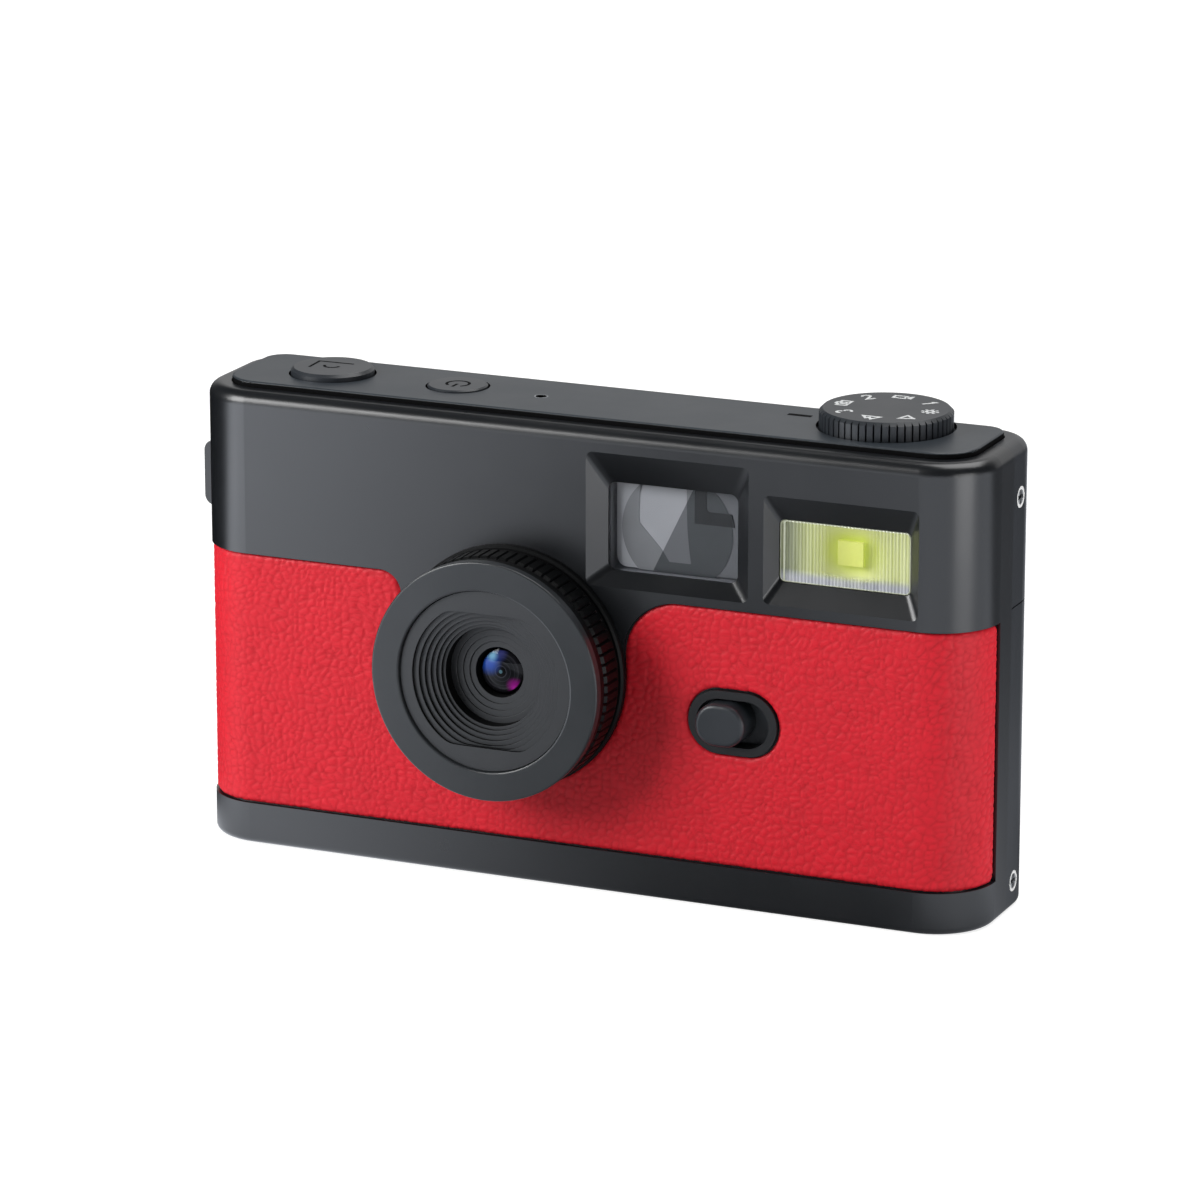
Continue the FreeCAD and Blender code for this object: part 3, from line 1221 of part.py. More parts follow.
def slider():
    """The oval frame, the knob with its cover plate and peg, and the slide switch."""
    body = new_body("slider_frame")
    pad(body, "frame_oval", oval(slider_x, slider_z, slider_length, slider_height),
        wall + fit_gap, "XZ_Plane", -front, back=True)
    grow = slider_flange * 2
    start = inner_front + fit_gap
    pad(body, "frame_flange", oval(slider_x, slider_z, slider_length + grow,
                                   slider_height + grow), slider_flange_thick, "XZ_Plane",
        -start, back=True)
    pocket(body, "frame_slot", oval(slider_x, slider_z, slot_length, slot_height),
           wall + slider_flange_thick + past, "XZ_Plane", -front)
    node(body, "slider_frame")
    flange_rear = start + slider_flange_thick
    plate_front = flange_rear + stop_gap
    plate_rear = plate_front + slider_plate_thick
    body = new_body("slider_knob")
    face = front - knob_proud
    pad(body, "knob_oval", oval(knob_x, slider_z, knob_length, knob_height),
        plate_rear - face, "XZ_Plane", -face, back=True)
    near = 1e-4

    def outer_edge(edge):
        return all(abs(vertex.Point.y - float(face)) < near for vertex in edge.Vertexes)

    round_off(body, "knob_rounding", outer_edge, knob_round)
    slot_left = slider_x - slot_length / 2
    slot_right = slider_x + slot_length / 2
    low = slider_z - slot_height / 2 - slider_cover
    high = slider_z + slot_height / 2 + slider_cover
    pad(body, "knob_cover", rectangle(slot_left - slider_travel - slider_cover,
                                      slot_right + slider_cover, low, high),
        slider_plate_thick, "XZ_Plane", -plate_front, back=True)
    half = peg_side / 2
    pad(body, "knob_peg", rectangle(knob_x - half, knob_x + half, slider_z - half,
                                    slider_z + half), peg_reach + fit_gap, "XZ_Plane",
        -plate_rear + fit_gap, back=True)
    node(body, "slider_knob")
    switch_front = plate_rear + stop_gap
    left = knob_x - half - free_gap
    right = knob_x + half + slider_travel + free_gap
    body = new_body("slide_switch")
    pad(body, "switch_case", rectangle(left - switch_margin, right + switch_margin,
                                       slider_z - switch_height / 2,
                                       slider_z + switch_height / 2),
        switch_depth, "XZ_Plane", -switch_front, back=True)
    pocket(body, "switch_slot", rectangle(left, right, slider_z - half - free_gap,
                                          slider_z + half + free_gap),
           peg_reach + free_gap, "XZ_Plane", -switch_front)
    node(body, "slide_switch")


# Controls on the top plate, measured upwards from its face
SHUTTER = (shutter_x, control_y, plate_top)
POWER = (power_x, control_y, plate_top)
DIAL = (dial_x, dial_y, plate_top)
board_face = board_top - plate_top
flange_top = -plate_thick - stop_gap
flange_low = flange_top - button_flange_thick


def top_plate():
    """The plate inside the rim, with the ways of its controls."""
    body = new_body("top_plate")
    inset = rim_inset + plate_gap
    pad(body, "plate_outside", whole_outline(inset), plate_top - plate_seat, lift=plate_seat)
    near = 1e-4

    def top_edge(edge):
        return all(abs(vertex.Point.z - float(plate_top)) < near for vertex in edge.Vertexes)

    round_off(body, "plate_rounding", top_edge, plate_round)
    pocket(body, "plate_under", whole_outline(inset + plate_skirt), plate_under - plate_seat,
           lift=plate_under)
    drill(body, "button_ways", [(shutter_x, control_y, shutter_hole),
                                (power_x, control_y, power_hole),
                                (microphone_x, microphone_y, microphone_hole),
                                (dial_x, dial_y, shaft_radius + running_gap)],
          plate_thick + past, lift=plate_top)
    drill(body, "dial_seat", [(dial_x, dial_y, dial_hole)], dial_recess, lift=plate_top)
    half = index_length / 2
    pocket(body, "index_slot", rectangle(index_x - half, index_x + half,
                                         index_y - index_width / 2,
                                         index_y + index_width / 2), index_depth,
           lift=plate_top)
    return node(body, "top_plate")


def push_button(label, at, turn, radius, proud, flange, low, foot, stem, bevel):
    """A button: its cap through a hole, a flange that keeps it in, and a short stem."""
    top = flange_top if turn is UPWARD else -wall - stop_gap
    profile = [(ZERO, foot), (stem, foot), (stem, low), (flange, low), (flange, top),
               (radius, top), (radius, proud - bevel), (radius - bevel, proud), (ZERO, proud)]
    return turned(label, profile, at, turn)


def tact_switch(name, x, y, top):
    """A tact switch on the top board, its plunger reaching up to a level."""
    half = switch_body / 2
    face = board_top + switch_body_thick
    case = box(name + "_case", (x - half, x + half), (y - half, y + half), (board_top, face))
    plunger = rod(name + "_plunger", plunger_radius, top - face, (x, y, face))
    return united(name, [case, plunger])


def top_controls():
    """Buttons, dial, shaft, encoder, tact switches and microphone under the plate."""
    switch_top = board_face + switch_body_thick + plunger_rise
    push_button("shutter_button", SHUTTER, UPWARD, shutter_hole - free_gap, shutter_proud,
                shutter_hole + button_flange, flange_low,
                switch_top + shutter_travel + stop_gap, plunger_radius, button_bevel)
    push_button("power_button", POWER, UPWARD, power_hole - free_gap, power_proud,
                power_hole + button_flange, flange_low, switch_top + power_travel + stop_gap,
                plunger_radius, button_bevel / 2)
    level = plate_top + switch_top
    group("tact_switches", [tact_switch("shutter_switch", shutter_x, control_y, level),
                            tact_switch("power_switch", power_x, control_y, level)])
    node(rod("microphone_can", microphone_radius, microphone_thick,
             (microphone_x, microphone_y, plate_under - microphone_thick)), "microphone")
    bottom = free_gap - dial_recess
    socket = shaft_socket + bottom
    profile = [(shaft_radius + fit_gap, bottom), (dial_radius, bottom),
               (dial_radius, dial_proud - dial_bevel), (dial_radius - dial_bevel, dial_proud),
               (ZERO, dial_proud), (ZERO, socket + fit_gap),
               (shaft_radius + fit_gap, socket + fit_gap)]
    dial = turned("mode_dial", profile, DIAL, UPWARD)
    knurl(dial, "dial_flute", dial_radius, dial_knurl_depth, bottom, dial_proud,
          dial_knurl_count)
    encoder_top = board_face + encoder_thick
    foot = encoder_top - shaft_depth
    profile = [(ZERO, foot), (shaft_radius, foot), (shaft_radius, flange_top - collar_thick),
               (collar_radius, flange_top - collar_thick), (collar_radius, flange_top),
               (shaft_radius, flange_top), (shaft_radius, socket), (ZERO, socket)]
    turned("dial_shaft", profile, DIAL, UPWARD)
    half = encoder_side / 2
    case = box("encoder_case", (dial_x - half, dial_x + half), (dial_y - half, dial_y + half),
               (board_top, plate_top + encoder_top))
    way = rod("encoder_bore", shaft_radius + running_gap, encoder_thick,
              (dial_x, dial_y, plate_top + foot - stop_gap))
    node(cut_from("encoder", case, way), "dial_encoder")


def top_boards():
    """The two boards that hang under the ledge."""
    low = board_top - board_thick
    near = inner_front + board_edge
    far = inner_rear - board_edge
    node(box("button_card", (top_board_left, top_board_right), (near, far), (low, board_top)),
         "button_board")
    near = front + backing_depth + board_edge
    node(box("dial_card", (dial_board_left, dial_board_right), (near, far), (low, board_top)),
         "dial_board")


def rear_keys():
    """Five round keys in the lower cover, their board and the domes under them."""
    low = -wall - stop_gap - key_flange_thick
    dome_top = -rear + key_board_rear + dome_thick
    for label, (x, z) in key_spots.items():
        push_button(label, (x, rear, z), OUTWARD_REAR, key_radius, key_proud,
                    key_radius + free_gap + key_flange, low, dome_top + key_travel + stop_gap,
                    dome_radius / 2, key_bevel)
    node(box("key_card", (key_board_left, key_board_right), (key_board_front, key_board_rear),
             (key_board_low, key_board_high)), "key_board")
    domes = [rod(f"dome_{index}", dome_radius, dome_thick, (x, key_board_rear, z), OUTWARD_REAR)
             for index, (x, z) in enumerate(key_spots.values(), 1)]
    group("key_domes", domes)


def sockets():
    """The charging socket and the card socket on the front of the key board."""
    mouth = socket_sink - half_width
    case = box("socket_case", (mouth, mouth + socket_length), (socket_front, socket_rear),
               (socket_low, socket_low + socket_width))
    inside = box("socket_inside", (mouth - past, mouth + socket_length - socket_skin),
                 (socket_front + socket_skin, socket_rear - socket_skin),
                 (socket_low + socket_skin, socket_low + socket_width - socket_skin))
    third = socket_thick / 3
    tongue = box("socket_tongue", (mouth + past, mouth + socket_length - socket_skin),
                 (socket_front + third, socket_rear - third),
                 (socket_low + past, socket_low + socket_width - past))
    shell = cut_from("socket_shell", case, inside)
    node(united("socket_solid", [shell, tongue]), "usb_socket")
    end = wall + free_gap + stop_gap - half_width
    case = box("card_case", (end, end + card_length), (card_front, socket_rear),
               (card_low, card_low + card_width))
    middle = card_low + card_width / 2
    spare = (card_thick - card_slot_thick) / 2
    way = box("card_inside", (end - past, end + card_length - past),
              (card_front + spare, socket_rear - spare),
              (middle - card_slot / 2, middle + card_slot / 2))
    node(cut_from("card_body", case, way), "card_socket")


def main_electronics():
    """Main board with its screws, shield can and speaker, and the display."""
    board_back = main_board_y + board_thick
    card = box("main_card", (main_board_left, main_board_right), (main_board_y, board_back),
               (main_board_low, main_board_high))
    holes = [rod(f"board_hole_{index}", board_screw_radius + fit_gap, board_thick + past * 2,
                 (x, main_board_y - past, z), OUTWARD_REAR)
             for index, (x, z) in enumerate(posts, 1)]
    node(cut_from("main_card_holed", card, united("board_holes", holes)), "main_board")
    screws = []
    for index, (x, z) in enumerate(posts, 1):
        shank = rod(f"board_shank_{index}", board_screw_radius - fit_gap / 2,
                    board_screw_reach + board_thick,
                    (x, main_board_y - board_screw_reach, z), OUTWARD_REAR)
        head = rod(f"board_head_{index}", board_head_radius, board_head_thick,
                   (x, board_back, z), OUTWARD_REAR)
        screws.append(united(f"board_screw_{index}", [shank, head]))
    group("board_screws", screws)
    node(box("can_box", (can_left, can_left + can_width), (main_board_y - can_thick,
                                                           main_board_y),
             (can_low, can_low + can_height)), "shield_can")
    node(rod("speaker_case", speaker_radius, speaker_thick,
             (speaker_x, inner_rear - fit_gap - speaker_thick, speaker_z), OUTWARD_REAR),
         "speaker")
    glass_rear = rear - fit_gap
    body = new_body("display_glass")
    pad(body, "glass_plate", rectangle(screen_left, screen_right, screen_low, screen_high,
                                       screen_corner), screen_glass_thick - fit_gap,
        "XZ_Plane", -glass_rear)
    node(body, "display_glass")
    node(box("display_case", (screen_left - display_margin, screen_right + display_margin),
             (inner_rear - fit_gap - display_thick, inner_rear - fit_gap),
             (screen_low - display_margin, screen_high + display_margin)), "display_module")


def power_supply():
    """Battery, its holder with a closed top, and the contacts between them."""
    play = battery_play
    left = battery_left - play
    right = battery_right + play
    near = battery_front - play
    far = battery_rear + play
    top = battery_low + battery_length + contact_gap
    node(box("battery_pack", (battery_left, battery_right), (battery_front, battery_rear),
             (battery_low, battery_low + battery_length)), "battery")
    base = base_wall + fit_gap
    body = new_body("battery_holder")
    pad(body, "holder_outside", rectangle(left - holder_wall, right + holder_wall,
                                          near - holder_wall, far + holder_wall),
        top + holder_wall - base, lift=base)
    pocket(body, "holder_inside", rectangle(left, right, near, far), top - base + past,
           lift=top)
    node(body, "battery_holder")
    middle = (battery_left + battery_right) / 2
    contacts = []
    for index in range(contact_count):
        x = middle + contact_pitch * (index - (contact_count - 1) / 2)
        contacts.append(box(f"contact_{index + 1}",
                            (x - contact_width / 2, x + contact_width / 2),
                            (battery_front + play, battery_rear - play),
                            (battery_low + battery_length, top)))
    group("battery_contacts", contacts)


def cross_screw(name, x, z, sign):
    """A side screw with its head in the cover and its shank in the front shell's tongue."""
    turn = OUTWARD_RIGHT if sign > 0 else OUTWARD_LEFT
    outer = (half_width - fit_gap) * sign
    start = (half_width - fit_gap - screw_head_thick) * sign
    end = (half_width - fit_gap - screw_head_thick - screw_length) * sign
    head = rod(name + "_head", screw_head, screw_head_thick, (start, x, z), turn)
    shank = rod(name + "_shank", screw_shank - fit_gap / 2, screw_length + fit_gap,
                (end, x, z), turn)
    bottom = outer - cross_depth * sign
    mouth = outer + fit_gap * sign
    reach = (bottom, mouth) if sign > 0 else (mouth, bottom)
    bar = cross_length / 2
    slot = cross_width / 2
    upright = box(name + "_upright", reach, (x - slot, x + slot), (z - bar, z + bar))
    level = box(name + "_level", reach, (x - bar, x + bar), (z - slot, z + slot))
    whole = united(name + "_blank", [head, shank])
    return cut_from(name, whole, united(name + "_cross", [upright, level]))


def outside_trim():
    """Side screws, strap lug and tripod insert."""
    screws = []
    for side, sign in (("right", 1.0), ("left", -1.0)):
        for level, height in (("low", screw_low), ("high", screw_high)):
            screws.append(cross_screw(f"side_screw_{side}_{level}", screw_y, height, sign))
    group("side_screws", screws)
    outer = -half_width - lug_proud
    inner = -half_width
    body = new_body("strap_lug")
    outline = [(inner, lug_low), (inner, lug_high),
               (outer + lug_corner, lug_high - lug_corner, lug_corner, QUARTER, 2 * QUARTER),
               (outer + lug_corner, lug_low + lug_corner, lug_corner, 2 * QUARTER,
                3 * QUARTER)]
    pad(body, "lug_outside", outline, lug_rear - lug_front, "XZ_Plane", -lug_front, back=True)
    pocket(body, "lug_opening", rectangle(outer + lug_bar, inner + past, lug_low + lug_post,
                                          lug_high - lug_post), lug_rear - lug_front + past,
           "XZ_Plane", -lug_front)
    node(body, "strap_lug")
    body = new_body("tripod_insert")
    studs(body, "insert_blank", [(tripod_x, tripod_y, tripod_radius)],
          tripod_height - fit_gap, lift=fit_gap)
    drill(body, "insert_thread", [(tripod_x, tripod_y, tripod_bore)], tripod_depth + fit_gap,
          back=True)
    node(body, "tripod_insert")


# The whole camera
front_shell()
front_leather()
rear_upper_cover()
rear_lower_cover()
battery_door()
lens_barrel()
lens_outside()
light_baffle()
lens_inside()
viewfinder()
flash()
slider()
top_plate()
top_controls()
top_boards()
rear_keys()
sockets()
main_electronics()
power_supply()
outside_trim()
doc.recompute()

failed = [item.Label for item in doc.Objects if {"Invalid", "Error"} & set(item.State)]
if failed:
    raise RuntimeError(f"features that did not compute: {failed}")
for item in nodes:
    if item.Shape.isNull() or not item.Shape.isValid() or not item.Shape.Solids:
        raise RuntimeError(f"{item.Label} has no valid solid")

os.makedirs("parts", exist_ok=True)
for item in nodes:
    item.Shape.exportStep(os.path.join("parts", item.Label + ".step"))
print(f"{len(nodes)} sub-parts written")
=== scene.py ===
"""Looks of a flat compact digital camera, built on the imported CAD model.

The CAD nodes keep their shapes and get procedural materials. Pieces that need a finer surface
than a solid has, such as the grained leather, the ribbed flash window and the printed marks, are
worked out here with numpy and ride on the CAD bodies. Lengths in the dataclasses are in
millimetres, and those of the studio's lamps and cards in metres.
"""

import logging
import math
from dataclasses import dataclass
from enum import Enum

import bpy
import numpy as np
from mathutils import Matrix, Vector


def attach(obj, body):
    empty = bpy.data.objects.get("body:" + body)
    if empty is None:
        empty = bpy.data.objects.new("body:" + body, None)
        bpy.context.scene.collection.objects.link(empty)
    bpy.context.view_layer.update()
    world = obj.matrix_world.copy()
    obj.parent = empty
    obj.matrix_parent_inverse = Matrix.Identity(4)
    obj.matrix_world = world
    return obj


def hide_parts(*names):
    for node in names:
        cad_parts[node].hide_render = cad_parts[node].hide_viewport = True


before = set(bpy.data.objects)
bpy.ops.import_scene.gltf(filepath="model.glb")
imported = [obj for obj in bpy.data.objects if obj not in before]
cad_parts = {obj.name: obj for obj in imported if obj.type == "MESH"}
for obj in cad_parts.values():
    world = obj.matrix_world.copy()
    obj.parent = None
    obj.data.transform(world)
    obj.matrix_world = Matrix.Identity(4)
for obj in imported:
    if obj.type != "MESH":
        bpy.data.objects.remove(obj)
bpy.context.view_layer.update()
LOG = logging.getLogger("camera")
MM = 0.001
LENS_AXIS = (-9.33, 31.2)
# a wave texture repeats at this distance when its scale is one
WAVE_STEP = math.tau / 20

Tree, Node, Socket = bpy.types.NodeTree, bpy.types.Node, bpy.types.NodeSocket
Material, Object, Array = bpy.types.Material, bpy.types.Object, np.ndarray
Place = tuple[float, float, float]
Spot = tuple[float, float]
Section = tuple[Spot, ...]


def linear(code: str) -> tuple[float, float, float, float]:
    """Turns an sRGB hex colour into linear light.

    Args:
        code: Six hex digits.

    Returns:
        Red, green, blue and an alpha of one.
    """
    parts = [value / 255 for value in bytes.fromhex(code)]
    light = [c / 12.92 if c <= 0.04045 else ((c + 0.055) / 1.055) ** 2.4 for c in parts]
    return light[0], light[1], light[2], 1.0


def add_node(tree: Tree, kind: str, inputs: dict | None = None, **settings: object) -> Node:
    """Adds a node with its settings, values and links.

    Args:
        tree: The material's or world's node tree.
        kind: The node's Blender type name, without its leading ShaderNode.
        inputs: Values, sockets or nodes for its inputs, by name or number. A socket is linked,
            and so is the first output of a node.
        **settings: The node's own options.

    Returns:
        The new node.
    """
    node = tree.nodes.new("ShaderNode" + kind)
    for name, value in settings.items():
        setattr(node, name, value)
    for name, value in (inputs or {}).items():
        if isinstance(value, Node):
            value = value.outputs[0]
        if isinstance(value, Socket):
            tree.links.new(value, node.inputs[name])
        else:
            node.inputs[name].default_value = value
    return node


def per_metre(size_mm: float) -> float:
    """Texture scale at which one feature is about size_mm across."""
    return 1 / (size_mm * MM)


@dataclass(frozen=True)
class Finish:
    """A named surface finish that makes one procedural material."""

    name: str
    colour: str

    def make(self) -> Material:
        """Builds the material on Object coordinates.

        Returns:
            The finished material.
        """
        material = bpy.data.materials.new(self.name)
        material.use_nodes = True
        tree = material.node_tree
        tree.nodes.clear()
        place = add_node(tree, "TexCoord").outputs["Object"]
        shader = self.shade(tree, place)
        add_node(tree, "OutputMaterial", {"Surface": shader})
        return material

    def shade(self, tree: Tree, place: Socket) -> Node:
        """Builds the finish's shader node for the surface, from Object coordinates in metres."""
        raise NotImplementedError

    def toned(self, tree: Tree, amount: Socket, low: str, high: str) -> Socket:
        """Mixes two colours by an amount.

        Args:
            tree: The material's node tree.
            amount: From 0, the low colour, to 1, the high one.
            low: Hex colour at 0.
            high: Hex colour at 1.

        Returns:
            The mixed colour.
        """
        inputs = {0: amount, 6: linear(low), 7: linear(high)}
        mixed = add_node(tree, "Mix", inputs, data_type="RGBA", clamp_factor=True)
        return mixed.outputs[2]

    def drifted(self, tree: Tree, amount: Socket | Node, down: float, up: float) -> Socket:
        """The finish's own colour, down by a share where the amount is 0 and up where it is 1."""
        dark, light = shift_tone(self.colour, -down), shift_tone(self.colour, up)
        return self.toned(tree, amount, dark, light)


def shift_tone(code: str, share: float) -> str:
    """Lightens or darkens a hex colour.

    Args:
        code: The hex colour.
        share: Share of its value to add, negative to darken.

    Returns:
        The new hex colour.
    """
    parts = [value * (1 + share) for value in bytes.fromhex(code)]
    return "".join(f"{int(min(max(c, 0), 255)):02x}" for c in parts)


@dataclass(frozen=True)
class MouldedPlastic(Finish):
    """ABS moulded in a spark-eroded tool: even, satin, with a fine matt grain in its highlights.

    Real erosion grain is about 0.05 mm, drawn here at grain_mm so that it shows.
    """

    roughness: float = 0.46
    grain_mm: float = 0.22
    lift_mm: float = 0.004
    drift: float = 0.05
    specular: float = 0.5
    cloud_mm: float = 14.0
    gloss_drift: float = 0.03

    def shade(self, tree: Tree, place: Socket) -> Node:
        """Fine noise as bump, and slow drifts of tone and gloss left by handling.

        Args:
            tree: The material's node tree.
            place: Object coordinates in metres.

        Returns:
            The shader node for the surface.
        """
        grain = add_node(
            tree, "TexNoise", {"Vector": place, "Scale": per_metre(self.grain_mm), "Detail": 2.0}
        )
        slow = add_node(
            tree, "TexNoise",
            {"Vector": place, "Scale": per_metre(self.cloud_mm), "Detail": 4.0, "Roughness": 0.6}
        )
        spread = add_node(tree, "MapRange", {"Value": slow, "From Min": 0.3, "From Max": 0.7})
        gloss = add_node(
            tree, "MapRange",
            {
                "Value": slow, "From Min": 0.3, "From Max": 0.7,
                "To Min": self.roughness - self.gloss_drift,
                "To Max": self.roughness + self.gloss_drift
            }
        )
        bump = add_node(
            tree, "Bump", {"Height": grain, "Distance": self.lift_mm * MM, "Strength": 1.0}
        )
        colour = self.drifted(tree, spread, self.drift, self.drift)
        return add_node(
            tree, "BsdfPrincipled",
            {
                "Base Color": colour, "Roughness": gloss, "IOR": 1.53,
                "Specular IOR Level": self.specular, "Normal": bump
            }
        )


@dataclass(frozen=True)
class EdgedPlastic(MouldedPlastic):
    """A moulded plate whose upright edges are near-black and matt: painted shade of the gap they
    stand in.
    """

    # colour of the upright edges: painted shade of the gap round the plate
    edge: str = "050506"

    def shade(self, tree: Tree, place: Socket) -> Node:
        """The surface's slope chooses between the plate's face and its upright edge, which is
        painted shade.

        Args:
            tree: The material's node tree.
            place: Object coordinates in metres.

        Returns:
            The shader node for the surface.
        """
        face = super().shade(tree, place)
        slope = add_node(tree, "NewGeometry").outputs["True Normal"]
        level = add_node(tree, "SeparateXYZ", {0: slope}).outputs[2]
        upright = add_node(tree, "MapRange", {"Value": level, "From Min": 0.6, "From Max": 0.3})
        # upright faces: painted shade, near-black and hardly shining
        dull = add_node(
            tree, "BsdfPrincipled",
            {"Base Color": linear(self.edge), "Roughness": 0.8, "Specular IOR Level": 0.1}
        )
        return add_node(tree, "MixShader", {0: upright, 1: face, 2: dull})


@dataclass(frozen=True)
class Leatherette(Finish):
    """Bonded leather, embossed and dyed: soft pebbles, creases darkened by painted shade, and a
    low, broad sheen.

    The pebbles are in the mesh, whose attribute "crease" is 1 in the bottom of a crease. The pores
    between them are about 0.3 mm.
    """

    # colour in the bottom of a crease: painted shade
    crease: str = "9a0c16"
    roughness: float = 0.5
    pore_mm: float = 0.32
    pore_lift_mm: float = 0.02
    cloud_mm: float = 6.0
    crease_painted_shade: float = 0.42
    crease_dulling: float = 0.2
    sheen: str = "f07078"

    def shade(self, tree: Tree, place: Socket) -> Node:
        """Painted shade in the creases from the mesh, with pores as bump over it.

        Args:
            tree: The material's node tree.
            place: Object coordinates in metres.

        Returns:
            The shader node for the surface.
        """
        crease = add_node(tree, "Attribute", attribute_name="crease").outputs["Fac"]
        pores = add_node(
            tree, "TexNoise", {"Vector": place, "Scale": per_metre(self.pore_mm), "Detail": 3.0}
        )
        slow = add_node(
            tree, "TexNoise", {"Vector": place, "Scale": per_metre(self.cloud_mm), "Detail": 3.0}
        )
        bright = self.drifted(tree, slow, 0.05, 0.05)
        # painted shade: the creases darken towards the crease colour
        amount = add_node(tree, "Math", {0: crease, 1: self.crease_painted_shade}, operation="MULTIPLY")
        colour = add_node(
            tree, "Mix", {0: amount, 6: bright, 7: linear(self.crease)}, data_type="RGBA",
            clamp_factor=True
        )
        rough = add_node(
            tree, "MapRange",
            {
                "Value": crease, "To Min": self.roughness,
                "To Max": self.roughness + self.crease_dulling
            }
        )
        bump = add_node(
            tree, "Bump", {"Height": pores, "Distance": self.pore_lift_mm * MM, "Strength": 1.0}
        )
        return add_node(
            tree, "BsdfPrincipled",
            {
                "Base Color": colour.outputs[2], "Roughness": rough, "IOR": 1.5,
                "Specular IOR Level": 0.4, "Sheen Weight": 0.06, "Sheen Roughness": 0.5,
                "Sheen Tint": linear(self.sheen), "Normal": bump
            }
        )


@dataclass(frozen=True)
class TurnedMetal(Finish):
    """Metal cut on a lathe: bright, with fine rings round an upright axis through the piece."""

    centre_mm: Place = (0.0, 0.0, 0.0)
    roughness: float = 0.28
    ring_mm: float = 0.12
    gloss_drift: float = 0.08
    lift_mm: float = 0.003

    def shade(self, tree: Tree, place: Socket) -> Node:
        """Rings from a wave texture about the axis, as bump and as a change of gloss.

        Args:
            tree: The material's node tree.
            place: Object coordinates in metres.

        Returns:
            The shader node for the surface.
        """
        centre = [-c * MM for c in self.centre_mm]
        moved = add_node(tree, "Mapping", {"Vector": place, "Location": centre})
        rings = add_node(
            tree, "TexWave",
            {
                "Vector": moved, "Scale": per_metre(self.ring_mm) * WAVE_STEP, "Distortion": 0.4,
                "Detail": 1.0
            },
            wave_type="RINGS", rings_direction="Z"
        )
        rough = add_node(
            tree, "MapRange",
            {
                "Value": rings.outputs["Fac"], "To Min": self.roughness - self.gloss_drift,
                "To Max": self.roughness + self.gloss_drift
            }
        )
        bump = add_node(
            tree, "Bump",
            {"Height": rings.outputs["Fac"], "Distance": self.lift_mm * MM, "Strength": 0.6}
        )
        colour = self.drifted(tree, rings.outputs["Fac"], 0.08, 0.04)
        return add_node(
            tree, "BsdfPrincipled",
            {"Base Color": colour, "Metallic": 1.0, "Roughness": rough, "Normal": bump}
        )


@dataclass(frozen=True)
class CrossHeadMetal(Finish):
    """Plated screw heads facing along x: a painted highlight on the rim, painted shade in the
    dished middle and the cross recess.
    """

    # painted shade: a grey dish and a near-black cross recess, inside a rim painted white as a
    # highlight
    dish: str = "8a8d92"
    recess: str = "242527"
    middle_mm: Spot = (4.4, 31.2)
    reach_mm: float = 27.3
    dish_mm: float = 1.0
    recess_mm: float = 58.7
    roughness: float = 0.3
    rim_blend_mm: float = 0.12
    recess_blend_mm: float = 0.1

    def shade(self, tree: Tree, place: Socket) -> Node:
        """Paints light and shade by the distance from the nearer screw's axis, and by depth below
        its face.

        Args:
            tree: The material's node tree.
            place: Object coordinates in metres.

        Returns:
            The shader node for the surface.
        """
        y, z = self.middle_mm
        moved = add_node(
            tree, "VectorMath", {0: place, 1: (0.0, y * MM, z * MM)}, operation="SUBTRACT"
        )
        folded = add_node(tree, "VectorMath", {0: moved}, operation="ABSOLUTE").outputs[0]
        apart = add_node(
            tree, "VectorMath", {0: folded, 1: (0.0, 1.0, 1.0), 2: (0.0, 0.0, -self.reach_mm * MM)},
            operation="MULTIPLY_ADD"
        )
        away = add_node(tree, "VectorMath", {0: apart}, operation="LENGTH")
        rim = add_node(
            tree, "MapRange",
            {
                "Value": away.outputs["Value"], "From Min": self.dish_mm * MM,
                "From Max": (self.dish_mm + self.rim_blend_mm) * MM
            }
        )
        out = add_node(tree, "SeparateXYZ", {0: folded}).outputs[0]
        face = add_node(
            tree, "MapRange",
            {
                "Value": out, "From Min": (self.recess_mm - self.recess_blend_mm) * MM,
                "From Max": self.recess_mm * MM
            }
        )
        # painted highlight on the rim, painted shade in the dish and the recess
        head = self.toned(tree, rim, self.dish, self.colour)
        colour = add_node(tree, "Mix", {0: face, 6: linear(self.recess), 7: head}, data_type="RGBA")
        return add_node(
            tree, "BsdfPrincipled", {"Base Color": colour.outputs[2], "Roughness": self.roughness}
        )


@dataclass(frozen=True)
class PressedSheet(Finish):
    """Tinned or stainless sheet, rolled and pressed: soft lengthwise streaks and a dull shine."""

    roughness: float = 0.36
    streak_mm: float = 0.25
    gloss_drift: float = 0.1

    def shade(self, tree: Tree, place: Socket) -> Node:
        """Noise stretched along the width gives the rolling streaks.

        Args:
            tree: The material's node tree.
            place: Object coordinates in metres.

        Returns:
            The shader node for the surface.
        """
        drawn = add_node(tree, "Mapping", {"Vector": place, "Scale": (0.04, 1.0, 1.0)})
        streaks = add_node(
            tree, "TexNoise", {"Vector": drawn, "Scale": per_metre(self.streak_mm), "Detail": 2.0}
        )
        rough = add_node(
            tree, "MapRange",
            {
                "Value": streaks, "To Min": self.roughness - self.gloss_drift,
                "To Max": self.roughness + self.gloss_drift
            }
        )
        colour = self.drifted(tree, streaks, 0.1, 0.06)
        return add_node(
            tree, "BsdfPrincipled", {"Base Color": colour, "Metallic": 1.0, "Roughness": rough}
        )


